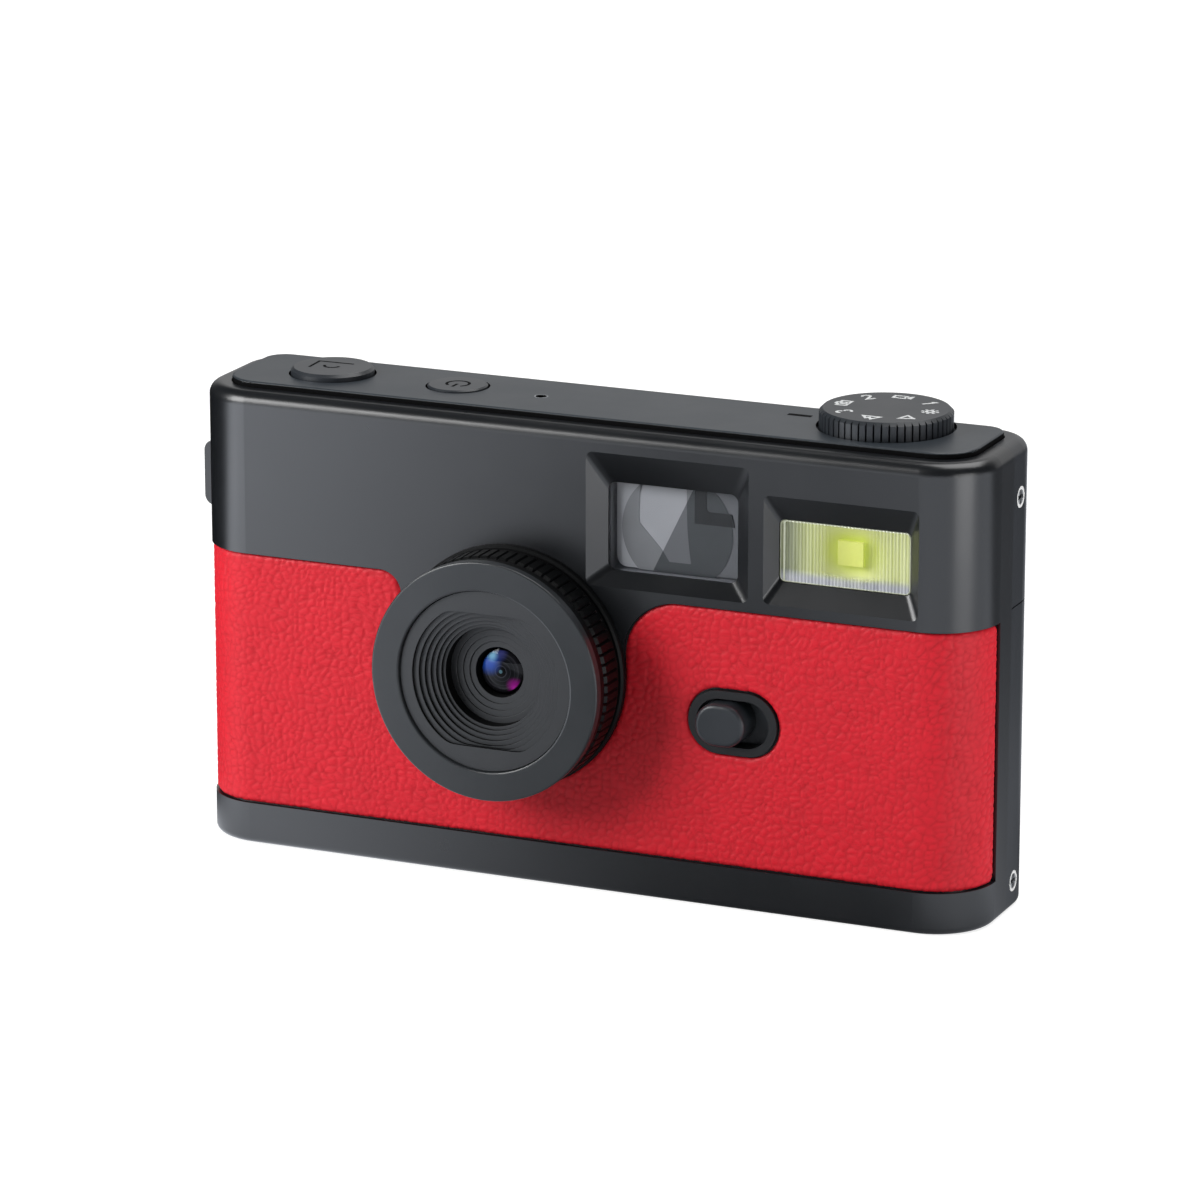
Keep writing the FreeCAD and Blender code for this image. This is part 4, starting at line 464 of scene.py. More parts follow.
@dataclass(frozen=True)
class ClearPane(Finish):
    """Polished acrylic or glass pane: nearly clear, faintly grey, with sharp reflections.

    The thickness of the pane shows what lies behind it through its alpha, as in a thin sheet.
    """

    alpha: float = 0.3
    roughness: float = 0.03
    specular: float = 0.5
    ior: float = 1.6
    smear_mm: float = 3.0

    def shade(self, tree: Tree, place: Socket) -> Node:
        """A thin clear coat with a trace of wiping marks in its gloss.

        Args:
            tree: The material's node tree.
            place: Object coordinates in metres.

        Returns:
            The shader node for the surface.
        """
        wiped = add_node(tree, "Mapping", {"Vector": place, "Scale": (1.0, 1.0, 0.2)})
        marks = add_node(
            tree, "TexNoise", {"Vector": wiped, "Scale": per_metre(self.smear_mm), "Detail": 4.0}
        )
        rough = add_node(
            tree, "MapRange",
            {
                "Value": marks, "From Min": 0.4, "From Max": 0.7, "To Min": self.roughness,
                "To Max": self.roughness * 2
            }
        )
        return add_node(
            tree, "BsdfPrincipled",
            {
                "Base Color": linear(self.colour), "Roughness": rough, "IOR": self.ior,
                "Specular IOR Level": self.specular, "Alpha": self.alpha
            }
        )


# painted reflections of the rings behind the front lens and of its pupil, then its black edge:
# place in radii from its middle, and colour there
PAINTED_LENS_RINGS = (
    (0.0, "4d6f7c"), (0.07, "4d6f7c"), (0.1, "060608"), (0.24, "060608"), (0.27, "3c3e46"),
    (0.31, "1a1b20"), (0.44, "15161a"), (0.47, "2c2d34"), (0.5, "101114"), (0.64, "17181c"),
    (0.67, "2c2d33"), (0.7, "131417"), (0.8, "27272c"), (0.83, "34343a"), (0.86, "18181c"),
    (0.98, "101013"), (1.03, "020203")
)
# painted reflections in the coating: middle in radii, start and end of its fade, colour and
# strength
PAINTED_COATING_REFLECTIONS = (
    ((-0.1, 0.85), 0.05, 0.5, "3f4486", 0.7), ((-0.62, 0.38), 0.1, 0.74, "2450b4", 0.95),
    ((-0.5, 0.72), 0.02, 0.42, "86bfe0", 1.0), ((0.66, -0.66), 0.06, 0.5, "9a168c", 1.0),
    ((0.62, -0.74), 0.0, 0.22, "c428b4", 0.9)
)


@dataclass(frozen=True)
class CoatedElement(Finish):
    """Polished lens glass with an interference coating, in a blackened edge.

    The dome is black with painted reflections: faint rings of the elements behind it, a sky-blue
    crescent at the upper left, a magenta one at the lower right and the small pupil of the iris
    in the middle.
    """

    centre_mm: Spot = (0.0, 0.0)
    radius_mm: float = 3.0
    squeeze: float = 0.9
    edge: Spot = (0.94, 1.0)

    def spot(self, tree: Tree, flat: Socket, place: Spot, near: float, far: float) -> Socket:
        """A soft round spot on the dome.

        Args:
            tree: The material's node tree.
            flat: Place on the dome in radii from its middle.
            place: The spot's middle, in radii.
            near: Distance at which it starts to fade.
            far: Distance at which it has gone.

        Returns:
            Its strength, from 0 to 1.
        """
        away = add_node(
            tree, "VectorMath", {0: flat, 1: (place[0], 0.0, place[1])}, operation="DISTANCE"
        )
        fade = add_node(
            tree, "MapRange",
            {
                "Value": away.outputs["Value"], "From Min": near, "From Max": far, "To Min": 1.0,
                "To Max": 0.0
            },
            interpolation_type="SMOOTHSTEP"
        )
        return fade.outputs[0]

    def shade(self, tree: Tree, place: Socket) -> Node:
        """Paints rings, crescents and pupil as reflections, and the black edge, by the place on the
        dome.

        Args:
            tree: The material's node tree.
            place: Object coordinates in metres.

        Returns:
            The shader node for the surface.
        """
        middle = (self.centre_mm[0] * MM, 0.0, self.centre_mm[1] * MM)
        moved = add_node(tree, "VectorMath", {0: place, 1: middle}, operation="SUBTRACT")
        share = per_metre(self.radius_mm)
        flat = add_node(
            tree, "VectorMath", {0: moved, 1: (share, 0.0, share)}, operation="MULTIPLY"
        ).outputs[0]
        away = add_node(tree, "VectorMath", {0: flat}, operation="LENGTH")
        scaled = add_node(
            tree, "Math", {0: away.outputs["Value"], 1: self.squeeze}, operation="MULTIPLY"
        )
        rings = add_node(tree, "ValToRGB", {0: scaled})
        ramp = rings.color_ramp
        while len(ramp.elements) < len(PAINTED_LENS_RINGS):
            ramp.elements.new(0.5)
        for element, (where, code) in zip(ramp.elements, PAINTED_LENS_RINGS):
            element.position = where * self.squeeze
            element.color = linear(code)
        colour = rings.outputs[0]
        inside = self.spot(tree, flat, (0.0, 0.0), *self.edge)
        # painted reflections of the coating, only inside the black edge
        for spot, near, far, code, strength in PAINTED_COATING_REFLECTIONS:
            glow = self.spot(tree, flat, spot, near, far)
            amount = add_node(tree, "Math", {0: glow, 1: inside}, operation="MULTIPLY")
            amount = add_node(tree, "Math", {0: amount, 1: strength}, operation="MULTIPLY")
            colour = add_node(
                tree, "Mix", {0: amount, 6: colour, 7: linear(code)}, data_type="RGBA"
            ).outputs[2]
        return add_node(
            tree, "BsdfPrincipled",
            {"Base Color": colour, "Roughness": 0.05, "IOR": 1.5, "Specular IOR Level": 0.14}
        )


@dataclass(frozen=True)
class SmokedGlass(Finish):
    """Black-backed display glass: mirror smooth, with a slightly lighter active area."""

    area_mm: tuple[float, float, float, float] = (0.0, 1.0, 0.0, 1.0)
    area_tone: str = "15171c"
    smear_mm: float = 9.0

    def shade(self, tree: Tree, place: Socket) -> Node:
        """A rectangle of the active area found from the two axes of the glass.

        Args:
            tree: The material's node tree.
            place: Object coordinates in metres.

        Returns:
            The shader node for the surface.
        """
        parts = add_node(tree, "SeparateXYZ", {0: place}).outputs
        inside = None
        left, right, low, high = (v * MM for v in self.area_mm)
        for socket, first, last in ((parts[0], left, right), (parts[2], low, high)):
            for edge, operation in ((first, "GREATER_THAN"), (last, "LESS_THAN")):
                test = add_node(tree, "Math", {0: socket, 1: edge}, operation=operation)
                if inside is not None:
                    test = add_node(tree, "Math", {0: inside, 1: test}, operation="MULTIPLY")
                inside = test.outputs[0]
        smears = add_node(
            tree, "TexNoise", {"Vector": place, "Scale": per_metre(self.smear_mm), "Detail": 5.0}
        )
        rough = add_node(
            tree, "MapRange", {"Value": smears, "From Min": 0.45, "To Min": 0.04, "To Max": 0.16}
        )
        return add_node(
            tree, "BsdfPrincipled",
            {
                "Base Color": self.toned(tree, inside, self.colour, self.area_tone),
                "Roughness": rough, "IOR": 1.52
            }
        )


@dataclass(frozen=True)
class Phosphor(Finish):
    """The yellow phosphor gel over a white diode: flat, waxy, slightly mottled, with a faint
    painted glow.
    """

    grain_mm: float = 0.25
    # emission of its own colour: painted light, since the diode is not lit
    glow: float = 0.36
    scatter_mm: Place = (0.6, 0.5, 0.1)

    def shade(self, tree: Tree, place: Socket) -> Node:
        """Grains of phosphor about 0.2 mm across in a clear binder.

        Args:
            tree: The material's node tree.
            place: Object coordinates in metres.

        Returns:
            The shader node for the surface.
        """
        grains = add_node(
            tree, "TexNoise", {"Vector": place, "Scale": per_metre(self.grain_mm), "Detail": 2.0}
        )
        colour = self.drifted(tree, grains, 0.08, 0.06)
        return add_node(
            tree, "BsdfPrincipled",
            {
                "Base Color": colour, "Emission Color": colour, "Emission Strength": self.glow,
                "Roughness": 0.5, "Subsurface Weight": 0.2,
                "Subsurface Radius": tuple(v * MM for v in self.scatter_mm), "Subsurface Scale": 1.0
            }
        )


@dataclass(frozen=True)
class FlashReflector(Finish):
    """Aluminised reflector with painted light: the phosphor's yellow-green reflection near the
    diode, grey at the ends.
    """

    pale: str = "c9ccc9"
    centre_mm: Place = (0.0, 0.0, 0.0)
    reach_mm: float = 9.0
    # painted glow: emission in the colour of the painted reflection
    glow: float = 0.17
    near_share: float = 0.35
    stretch: Place = (1.0, 0.0, 1.9)

    def shade(self, tree: Tree, place: Socket) -> Node:
        """The painted reflection of the phosphor thins out with the distance from the diode along
        the trough.

        Args:
            tree: The material's node tree.
            place: Object coordinates in metres.

        Returns:
            The shader node for the surface.
        """
        centre = [-c * MM for c in self.centre_mm]
        moved = add_node(tree, "Mapping", {"Vector": place, "Location": centre})
        flat = add_node(tree, "VectorMath", {0: moved, 1: self.stretch}, operation="MULTIPLY")
        away = add_node(tree, "VectorMath", {0: flat}, operation="LENGTH")
        amount = add_node(
            tree, "MapRange",
            {
                "Value": away.outputs["Value"], "From Min": self.near_share * self.reach_mm * MM,
                "From Max": self.reach_mm * MM
            },
            interpolation_type="SMOOTHSTEP"
        )
        lit = self.toned(tree, amount, self.colour, self.pale)
        return add_node(
            tree, "BsdfPrincipled",
            {
                "Base Color": lit, "Emission Color": lit, "Emission Strength": self.glow,
                "Metallic": 0.0, "Roughness": 0.5
            }
        )


@dataclass(frozen=True)
class CircuitBoard(Finish):
    """Glass-epoxy board under green solder mask: tracks show as a paler net, pads as tin dots."""

    track: str = "1f6b3c"
    pitch_mm: float = 2.2
    track_lift_mm: float = 0.03

    def shade(self, tree: Tree, place: Socket) -> Node:
        """Bricks stand for the tracks; their joints are the lines.

        Args:
            tree: The material's node tree.
            place: Object coordinates in metres.

        Returns:
            The shader node for the surface.
        """
        turned = add_node(tree, "Mapping", {"Vector": place, "Rotation": (math.pi / 2, 0.0, 0.0)})
        net = add_node(
            tree, "TexBrick",
            {
                "Vector": turned, "Color1": linear(self.colour),
                "Color2": linear(shift_tone(self.colour, 0.15)), "Mortar": linear(self.track),
                "Scale": per_metre(self.pitch_mm), "Mortar Size": 0.06, "Brick Width": 1.7,
                "Row Height": 0.45
            }
        )
        bump = add_node(
            tree, "Bump",
            {"Height": net.outputs["Fac"], "Distance": self.track_lift_mm * MM, "Strength": 0.6}
        )
        return add_node(
            tree, "BsdfPrincipled",
            {
                "Base Color": net.outputs["Color"], "Roughness": 0.32, "Coat Weight": 0.3,
                "Normal": bump
            }
        )


@dataclass(frozen=True)
class CellWrap(Finish):
    """Shrink film round a lithium cell: soft sheen, with a dark band at each end."""

    band: str = "15181c"
    low_mm: float = 0.0
    high_mm: float = 1.0
    ripple_mm: float = 2.5
    lift_mm: float = 0.05

    def shade(self, tree: Tree, place: Socket) -> Node:
        """The height picks the bands, and noise gives the film's ripples.

        Args:
            tree: The material's node tree.
            place: Object coordinates in metres.

        Returns:
            The shader node for the surface.
        """
        height = add_node(tree, "SeparateXYZ", {0: place}).outputs[2]
        above = add_node(tree, "Math", {0: height, 1: self.high_mm * MM}, operation="GREATER_THAN")
        below = add_node(tree, "Math", {0: height, 1: self.low_mm * MM}, operation="LESS_THAN")
        ends = add_node(tree, "Math", {0: above, 1: below}, operation="ADD")
        ripples = add_node(
            tree, "TexNoise", {"Vector": place, "Scale": per_metre(self.ripple_mm), "Detail": 1.0}
        )
        bump = add_node(
            tree, "Bump", {"Height": ripples, "Distance": self.lift_mm * MM, "Strength": 0.5}
        )
        return add_node(
            tree, "BsdfPrincipled",
            {
                "Base Color": self.toned(tree, ends, self.colour, self.band), "Roughness": 0.3,
                "Normal": bump
            }
        )


@dataclass(frozen=True)
class PrintInk(Finish):
    """Pad-printed ink: thin, opaque and matt, a little uneven where the pad lifted."""

    specular: float = 0.5
    grain_mm: float = 0.3

    def shade(self, tree: Tree, place: Socket) -> Node:
        """Fine noise varies the ink's cover.

        Args:
            tree: The material's node tree.
            place: Object coordinates in metres.

        Returns:
            The shader node for the surface.
        """
        cover = add_node(
            tree, "TexNoise", {"Vector": place, "Scale": per_metre(self.grain_mm), "Detail": 3.0}
        )
        return add_node(
            tree, "BsdfPrincipled",
            {
                "Base Color": self.toned(tree, cover, shift_tone(self.colour, -0.1), self.colour),
                "Specular IOR Level": self.specular, "Roughness": 0.6
            }
        )


@dataclass(frozen=True)
class RibbedLens(Finish):
    """Moulded polycarbonate with fine upright ribs: clear in the middle, lined towards its ends.

    Its colours are painted light and shade: the ribs' light and dark lines, a grey painted shadow
    along its foot, a darker left end, a painted glint near that end and a painted highlight on its
    bevelled rim.
    """

    pitch_mm: float = 0.5
    alpha: float = 0.78
    middle_mm: float = 39.7
    # painted light and shade of the ribs: the dark lines, then the left end's painted shade and lit
    # lines
    dark: str = "aab45a"
    end: str = "474e41"
    end_lit: str = "989f86"
    shadow: str = "a3a7b3"
    shadow_top_mm: float = 49.2
    # painted highlight of the bevelled rim, and the painted glint line near the left end
    rim: str = "e3e9cf"
    glint_mm: float = 30.35
    glint_half_mm: float = 0.14
    shadow_blend_mm: float = 1.4
    shadow_cover: float = 0.85
    clear_mm: Spot = (1.6, 6.4)
    clear_cover: float = 0.1
    end_mm: Spot = (-5.6, -8.4)
    rib_share: float = 0.55
    uneven_mm: float = 1.1
    uneven_share: float = 0.5
    lift_mm: float = 0.05

    def shade(self, tree: Tree, place: Socket) -> Node:
        """A wave along the width gives each rib its painted light and dark line, its relief and its
        share of cover.

        Args:
            tree: The material's node tree.
            place: Object coordinates in metres.

        Returns:
            The shader node for the surface.
        """
        ribs = add_node(
            tree, "TexWave", {"Vector": place, "Scale": per_metre(self.pitch_mm) * WAVE_STEP},
            wave_type="BANDS", bands_direction="X", wave_profile="SIN"
        )
        drawn = add_node(tree, "Mapping", {"Vector": place, "Scale": (1.0, 1.0, 0.03)})
        uneven = add_node(
            tree, "TexNoise", {"Vector": drawn, "Scale": per_metre(self.uneven_mm), "Detail": 2.0}
        )
        strong = add_node(tree, "MapRange", {"Value": uneven, "From Min": 0.36, "From Max": 0.6})
        mixed = add_node(
            tree, "Math", {0: ribs.outputs["Fac"], 1: self.rib_share}, operation="MULTIPLY"
        )
        line = add_node(
            tree, "Math", {0: strong, 1: self.uneven_share, 2: mixed}, operation="MULTIPLY_ADD"
        )
        height = add_node(tree, "SeparateXYZ", {0: place}).outputs
        # painted shadow along the window's foot
        low = add_node(
            tree, "MapRange",
            {
                "Value": height[2], "From Min": self.shadow_top_mm * MM,
                "From Max": (self.shadow_top_mm - self.shadow_blend_mm) * MM
            },
            interpolation_type="SMOOTHSTEP"
        )
        # painted highlight: a glint line near the left end, and the bevel's rim
        glint = add_node(
            tree, "Math", {0: height[0], 1: self.glint_mm * MM, 2: self.glint_half_mm * MM},
            operation="COMPARE"
        )
        rim = add_node(tree, "Attribute", attribute_name="rim").outputs["Fac"]
        bright = add_node(tree, "Math", {0: glint, 1: rim}, operation="MAXIMUM")
        side = add_node(
            tree, "VectorMath", {0: place, 1: (-self.middle_mm * MM, 0.0, 0.0)}, operation="ADD"
        )
        across = add_node(tree, "SeparateXYZ", {0: side}).outputs[0]
        away = add_node(tree, "Math", {0: across}, operation="ABSOLUTE")
        reach = add_node(
            tree, "MapRange",
            {
                "Value": away, "From Min": self.clear_mm[0] * MM, "From Max": self.clear_mm[1] * MM,
                "To Min": self.clear_cover
            },
            interpolation_type="SMOOTHSTEP"
        )
        cover = add_node(tree, "Math", {0: reach, 1: self.alpha}, operation="MULTIPLY")
        solid = add_node(
            tree, "Math", {0: low, 1: self.shadow_cover, 2: cover}, operation="MULTIPLY_ADD"
        )
        closed = add_node(tree, "Math", {0: solid, 1: bright}, operation="MAXIMUM")
        ending = add_node(
            tree, "MapRange",
            {"Value": across, "From Min": self.end_mm[0] * MM, "From Max": self.end_mm[1] * MM}
        )
        # painted shade of the ribs' dark lines, darker still at the left end, between their painted
        # light
        painted_stripe_shade = self.toned(tree, ending, self.dark, self.end)
        lit = self.toned(tree, ending, self.colour, self.end_lit)
        stripes = add_node(
            tree, "Mix", {0: line, 6: painted_stripe_shade, 7: lit}, data_type="RGBA", clamp_factor=True
        ).outputs[2]
        grey = self.toned(tree, line, shift_tone(self.shadow, -0.07), "c4c7cc")
        shaded = add_node(tree, "Mix", {0: low, 6: stripes, 7: grey}, data_type="RGBA")
        edged = add_node(
            tree, "Mix", {0: bright, 6: shaded.outputs[2], 7: linear(self.rim)}, data_type="RGBA"
        )
        bump = add_node(
            tree, "Bump",
            {"Height": ribs.outputs["Fac"], "Distance": self.lift_mm * MM, "Strength": 1.0}
        )
        return add_node(
            tree, "BsdfPrincipled",
            {
                "Base Color": edged.outputs[2], "Roughness": 0.12, "IOR": 1.59, "Alpha": closed,
                "Normal": bump
            }
        )


@dataclass(frozen=True)
class HalfPaintedShade(Finish):
    """Grey finder plastic with painted shade over all to the right of a slanting edge."""

    # darker colour right of the edge: painted shade
    smoked: str = "404346"
    low_mm: Spot = (10.3, 45.95)
    lean: float = 0.49
    blend_mm: float = 0.03
    haze_mm: float = 5.0

    def shade(self, tree: Tree, place: Socket) -> Node:
        """The painted shade's edge is a plane through two heights of the window.

        Args:
            tree: The material's node tree.
            place: Object coordinates in metres.

        Returns:
            The shader node for the surface.
        """
        low = (self.low_mm[0] * MM, 0.0, self.low_mm[1] * MM)
        moved = add_node(tree, "VectorMath", {0: place, 1: low}, operation="SUBTRACT")
        past = add_node(
            tree, "VectorMath", {0: moved, 1: (1.0, 0.0, -self.lean)}, operation="DOT_PRODUCT"
        )
        # painted shade to the right of the slanting edge
        film = add_node(
            tree, "MapRange",
            {
                "Value": past.outputs["Value"], "From Min": -self.blend_mm * MM,
                "From Max": self.blend_mm * MM
            }
        )
        haze = add_node(
            tree, "TexNoise", {"Vector": place, "Scale": per_metre(self.haze_mm), "Detail": 1.0}
        )
        pale = self.drifted(tree, haze, 0.04, 0.04)
        colour = add_node(tree, "Mix", {0: film, 6: pale, 7: linear(self.smoked)}, data_type="RGBA")
        return add_node(tree, "BsdfPrincipled", {"Base Color": colour.outputs[2], "Roughness": 0.5})


class Side(Enum):
    """The face a mark or a piece looks out of, as the directions of its right and its up."""

    FRONT = ((1.0, 0.0, 0.0), (0.0, 0.0, 1.0))
    REAR = ((-1.0, 0.0, 0.0), (0.0, 0.0, 1.0))
    TOP = ((1.0, 0.0, 0.0), (0.0, 1.0, 0.0))


def grid_quads(rows: int, columns: int, around: bool = False) -> Array:
    """Corner numbers of the quads of a grid of points, row after row.

    Args:
        rows: Number of rows of points.
        columns: Number of points in a row.
        around: Whether the last column joins the first.

    Returns:
        An array with four corners for each quad.
    """
    row = np.arange(rows - 1)[:, None]
    column = np.arange(columns if around else columns - 1)[None, :]
    after = (column + 1) % columns
    corners = [row * columns + column, row * columns + after]
    corners += [(row + 1) * columns + after, (row + 1) * columns + column]
    return np.stack([np.broadcast_to(c, (rows - 1, column.size)) for c in corners], -1).reshape(
        -1, 4
    )


def add_piece(
    name: str, points: Array, faces: Array | list, material: Material, body: str,
    smooth: bool = True
) -> Object:
    """Puts a surface into the scene as a piece that rides on a body.

    Args:
        name: The piece's name.
        points: Its vertices in millimetres, in the camera's frame.
        faces: Corner numbers, with the outside anticlockwise.
        material: Its finish.
        body: The body it moves with.
        smooth: Whether its faces are shaded as one curved surface.

    Returns:
        The new object, at the origin.
    """
    mesh = bpy.data.meshes.new(name)
    rows = faces.tolist() if isinstance(faces, Array) else faces
    mesh.from_pydata((np.asarray(points).reshape(-1, 3) * MM).tolist(), [], rows)
    mesh.polygons.foreach_set("use_smooth", [smooth] * len(mesh.polygons))
    mesh.materials.append(material)
    mesh.update()
    piece = bpy.data.objects.new(name, mesh)
    bpy.context.scene.collection.objects.link(piece)
    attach(piece, body)
    LOG.info("%s: %d faces on %s", name, len(mesh.polygons), body)
    return piece


def lattice_noise(u: Array, v: Array, pitch: float, seed: int) -> Array:
    """Smooth random heights: values at the corners of a square lattice, eased between them.

    Args:
        u: First coordinate.
        v: Second coordinate, of the same shape.
        pitch: Distance between lattice corners.
        seed: Picks the random values.

    Returns:
        Values from -1 to 1.
    """
    cells = 64
    table = np.random.default_rng(seed).uniform(-1, 1, (cells, cells))
    a, b = np.floor(u / pitch).astype(int), np.floor(v / pitch).astype(int)
    s, t = u / pitch - a, v / pitch - b
    s, t = s * s * (3 - 2 * s), t * t * (3 - 2 * t)
    a, b, right, above = a % cells, b % cells, (a + 1) % cells, (b + 1) % cells
    low = table[a, b] * (1 - s) + table[right, b] * s
    high = table[a, above] * (1 - s) + table[right, above] * s
    return low * (1 - t) + high * t


def nearest_two(u: Array, v: Array, pitch: float, seed: int) -> tuple[Array, Array]:
    """Distances to the nearest and the second of one random point in each lattice square.

    Args:
        u: First coordinate.
        v: Second coordinate, of the same shape.
        pitch: Side of a lattice square.
        seed: Picks the random points.

    Returns:
        The two distances, in the unit of the coordinates.
    """
    cells, edge = 128, 0.08
    spots = np.random.default_rng(seed).uniform(edge, 1 - edge, (cells, cells, 2))
    a, b = np.floor(u / pitch).astype(int), np.floor(v / pitch).astype(int)
    first = np.full(u.shape, np.inf)
    second = np.full(u.shape, np.inf)
    for step_a in (-1, 0, 1):
        for step_b in (-1, 0, 1):
            spot = spots[(a + step_a) % cells, (b + step_b) % cells]
            du = (a + step_a + spot[..., 0]) * pitch - u
            dv = (b + step_b + spot[..., 1]) * pitch - v
            away = np.hypot(du, dv)
            second = np.minimum(second, np.maximum(away, first))
            first = np.minimum(first, away)
    return first, second


@dataclass
class LeatherPanel:
    """The red leatherette wrapped round the front, let in below the casing's face."""

    half_width: float = 58.78
    face: float = -11.78
    corner: float = 8.48
    end: float = -3.1
    low: float = 6.2
    top: float = 42.55
    end_round: float = 1.2
    lens: Spot = LENS_AXIS
    field_half: float = 17.03
    left_flare: float = 3.15
    right_flare: float = 7.8
    slider: Spot = (23.74, 26.7)
    slider_size: Spot = (13.55, 9.5)
    pitch: float = 0.235
    pebble: float = 1.14
    crease_depth: float = 0.15
    thick: float = 0.5
    squeeze: float = 1.12
    shift: float = 200.0
    fine_warp: Spot = (0.42, 2.1)
    broad_warp: Spot = (0.9, 7.0)
    shoulder: float = 0.42
    crease_power: float = 1.4
    crease_strength: Spot = (0.76, 0.32)
    weakest: float = 0.3
    turn_in: Spot = (0.22, 0.28)
    swell: Spot = (0.008, 3.1)
    finish: Leatherette = Leatherette("red embossed bonded leather", "df142a")

    def straight(self) -> float:
        """Length of the flat front between the two corners."""
        return 2 * (self.half_width - self.corner)

    def length(self) -> float:
        """Length of the sheet laid flat."""
        run = self.face + self.corner
        return self.straight() + math.pi * self.corner + 2 * (self.end - run)

    def wrapped(self, along: Array) -> tuple[Array, Array, Array, Array]:
        """Bends the flat sheet round the corners: straight, then a quarter circle, then straight.

        Args:
            along: Distance from the middle of the sheet, positive to the right.

        Returns:
            Place across and in depth, and the outward normal's two parts.
        """
        side = np.sign(along)
        past = np.abs(along) - self.straight() / 2
        angle = np.clip(past / self.corner, 0, math.pi / 2)
        run = np.maximum(past - self.corner * math.pi / 2, 0)
        x = np.minimum(np.abs(along), self.straight() / 2) + self.corner * np.sin(angle)
        y = self.face + self.corner * (1 - np.cos(angle)) + run
        return side * x, y, side * np.sin(angle), -np.cos(angle)

    def margin(self, along: Array, z: Array) -> Array:
        """Distance inwards from the sheet's nearest cut edge, negative outside the sheet.

        Args:
            along: Distance from the middle of the sheet.
            z: Height.

        Returns:
            The least of the distances to the outline, the lens field and the slider's oval.
        """
        half_long, half_high = self.length() / 2, (self.top - self.low) / 2
        over_u = np.abs(along) - half_long + self.end_round
        over_v = np.abs(z - (self.top + self.low) / 2) - half_high + self.end_round
        outside = np.hypot(np.maximum(over_u, 0), np.maximum(over_v, 0))
        rim = self.end_round - outside - np.minimum(np.maximum(over_u, over_v), 0)
        out_of_reach = 99.0
        far = np.full(z.shape, out_of_reach)
        du, dv = along - self.lens[0], z - self.lens[1]
        arch = np.where(dv <= 0, np.hypot(du, dv) - self.field_half, far)
        flares = []
        for sign, flare in ((-1, self.left_flare), (1, self.right_flare)):
            centre_u, centre_v = self.field_half + flare, self.top - flare - self.lens[1]
            beside = sign * du > 0
            straight = beside & (dv > 0) & (dv <= centre_v)
            wall = np.where(straight, sign * du - self.field_half, far)
            bend = flare - np.hypot(sign * du - centre_u, dv - centre_v)
            near = beside & (dv > centre_v) & (sign * du < centre_u)
            flares.append(np.where(near, bend, wall))
        inner = (self.slider_size[0] - self.slider_size[1]) / 2
        du, dv = along - self.slider[0], z - self.slider[1]
        oval = np.hypot(np.maximum(np.abs(du) - inner, 0), dv) - self.slider_size[1] / 2
        within = np.abs(along - self.lens[0]) < self.field_half
        above = np.where(within & (z > self.lens[1]), -1.0, out_of_reach)
        return np.minimum.reduce([rim, arch, flares[0], flares[1], oval, above])

    def creases(self, along: Array, z: Array) -> Array:
        """Crease depth from 0 to 1: the borders between irregular cells, on a warped plane.

        Args:
            along: Distance from the middle of the sheet.
            z: Height.

        Returns:
            1 in the bottom of a crease, fading over the pebble's shoulder.
        """
        (fine, near), (broad, far) = self.fine_warp, self.broad_warp
        u = along + fine * lattice_noise(along, z, near, 3) + broad * lattice_noise(
            along, z, far, 4
        )
        v = z * self.squeeze + fine * lattice_noise(along, z, near, 5)
        v += broad * lattice_noise(along, z, far, 6)
        first, second = nearest_two(u + self.shift, v + self.shift, self.pebble, 7)
        border = np.clip((second - first) / (self.shoulder * self.pebble), 0, 1)
        level, unevenness = self.crease_strength
        strength = level + unevenness * lattice_noise(along, z, 1.0, 8)
        return (1 - border) ** self.crease_power * np.clip(strength, self.weakest, 1)

    def build(self) -> Object:
        """Cuts the sheet out of a grid, presses the pebbles and turns the edges in.

        Returns:
            The leather piece, which stands for the CAD band.
        """
        columns = int(self.length() / self.pitch)
        rows = int((self.top - self.low) / self.pitch)
        along, z = np.meshgrid(
            np.linspace(-self.length() / 2, self.length() / 2, columns),
            np.linspace(self.low, self.top, rows)
        )
        along, z = along.ravel(), z.ravel()
        quads = grid_quads(rows, columns)
        keep = self.margin(along[quads].mean(1), z[quads].mean(1)) > 0
        edge = np.intersect1d(quads[keep], quads[~keep])
        tiny, passes, steepest = 1e-3, 3, 3.0
        for _ in range(passes):
            u, v = along[edge], z[edge]
            gap = self.margin(u, v)
            du = (self.margin(u + tiny, v) - self.margin(u - tiny, v)) / (2 * tiny)
            dv = (self.margin(u, v + tiny) - self.margin(u, v - tiny)) / (2 * tiny)
            sound = np.abs(du) + np.abs(dv) < steepest
            move = np.clip(gap, -self.pitch, self.pitch) * sound
            along[edge] = u - move * du
            z[edge] = v - move * dv
        quads = quads[keep]
        crease = self.creases(along, z)
        gap = np.maximum(self.margin(along, z), 0)
        turned_in = self.turn_in[0] * np.exp(-((gap / self.turn_in[1]) ** 2))
        swell = self.swell[0] * lattice_noise(along, z, self.swell[1], 9)
        rise = swell - crease * self.crease_depth - turned_in
        x, y, out_x, out_y = self.wrapped(along)
        points = np.stack([x + rise * out_x, y + rise * out_y, z], 1)
        sides = np.stack([quads, np.roll(quads, -1, 1)], -1).reshape(-1, 2)
        key = np.sort(sides, 1)
        _, number, count = np.unique(key, axis=0, return_inverse=True, return_counts=True)
        border = sides[count[number.ravel()] == 1]
        rim, place = np.unique(border, return_inverse=True)
        place = place.reshape(border.shape) + len(points)
        sunk = np.stack([out_x[rim], out_y[rim], np.zeros(len(rim))], 1) * self.thick
        points = np.concatenate([points, points[rim] - sunk])
        skirt = np.stack([border[:, 1], border[:, 0], place[:, 0], place[:, 1]], 1)
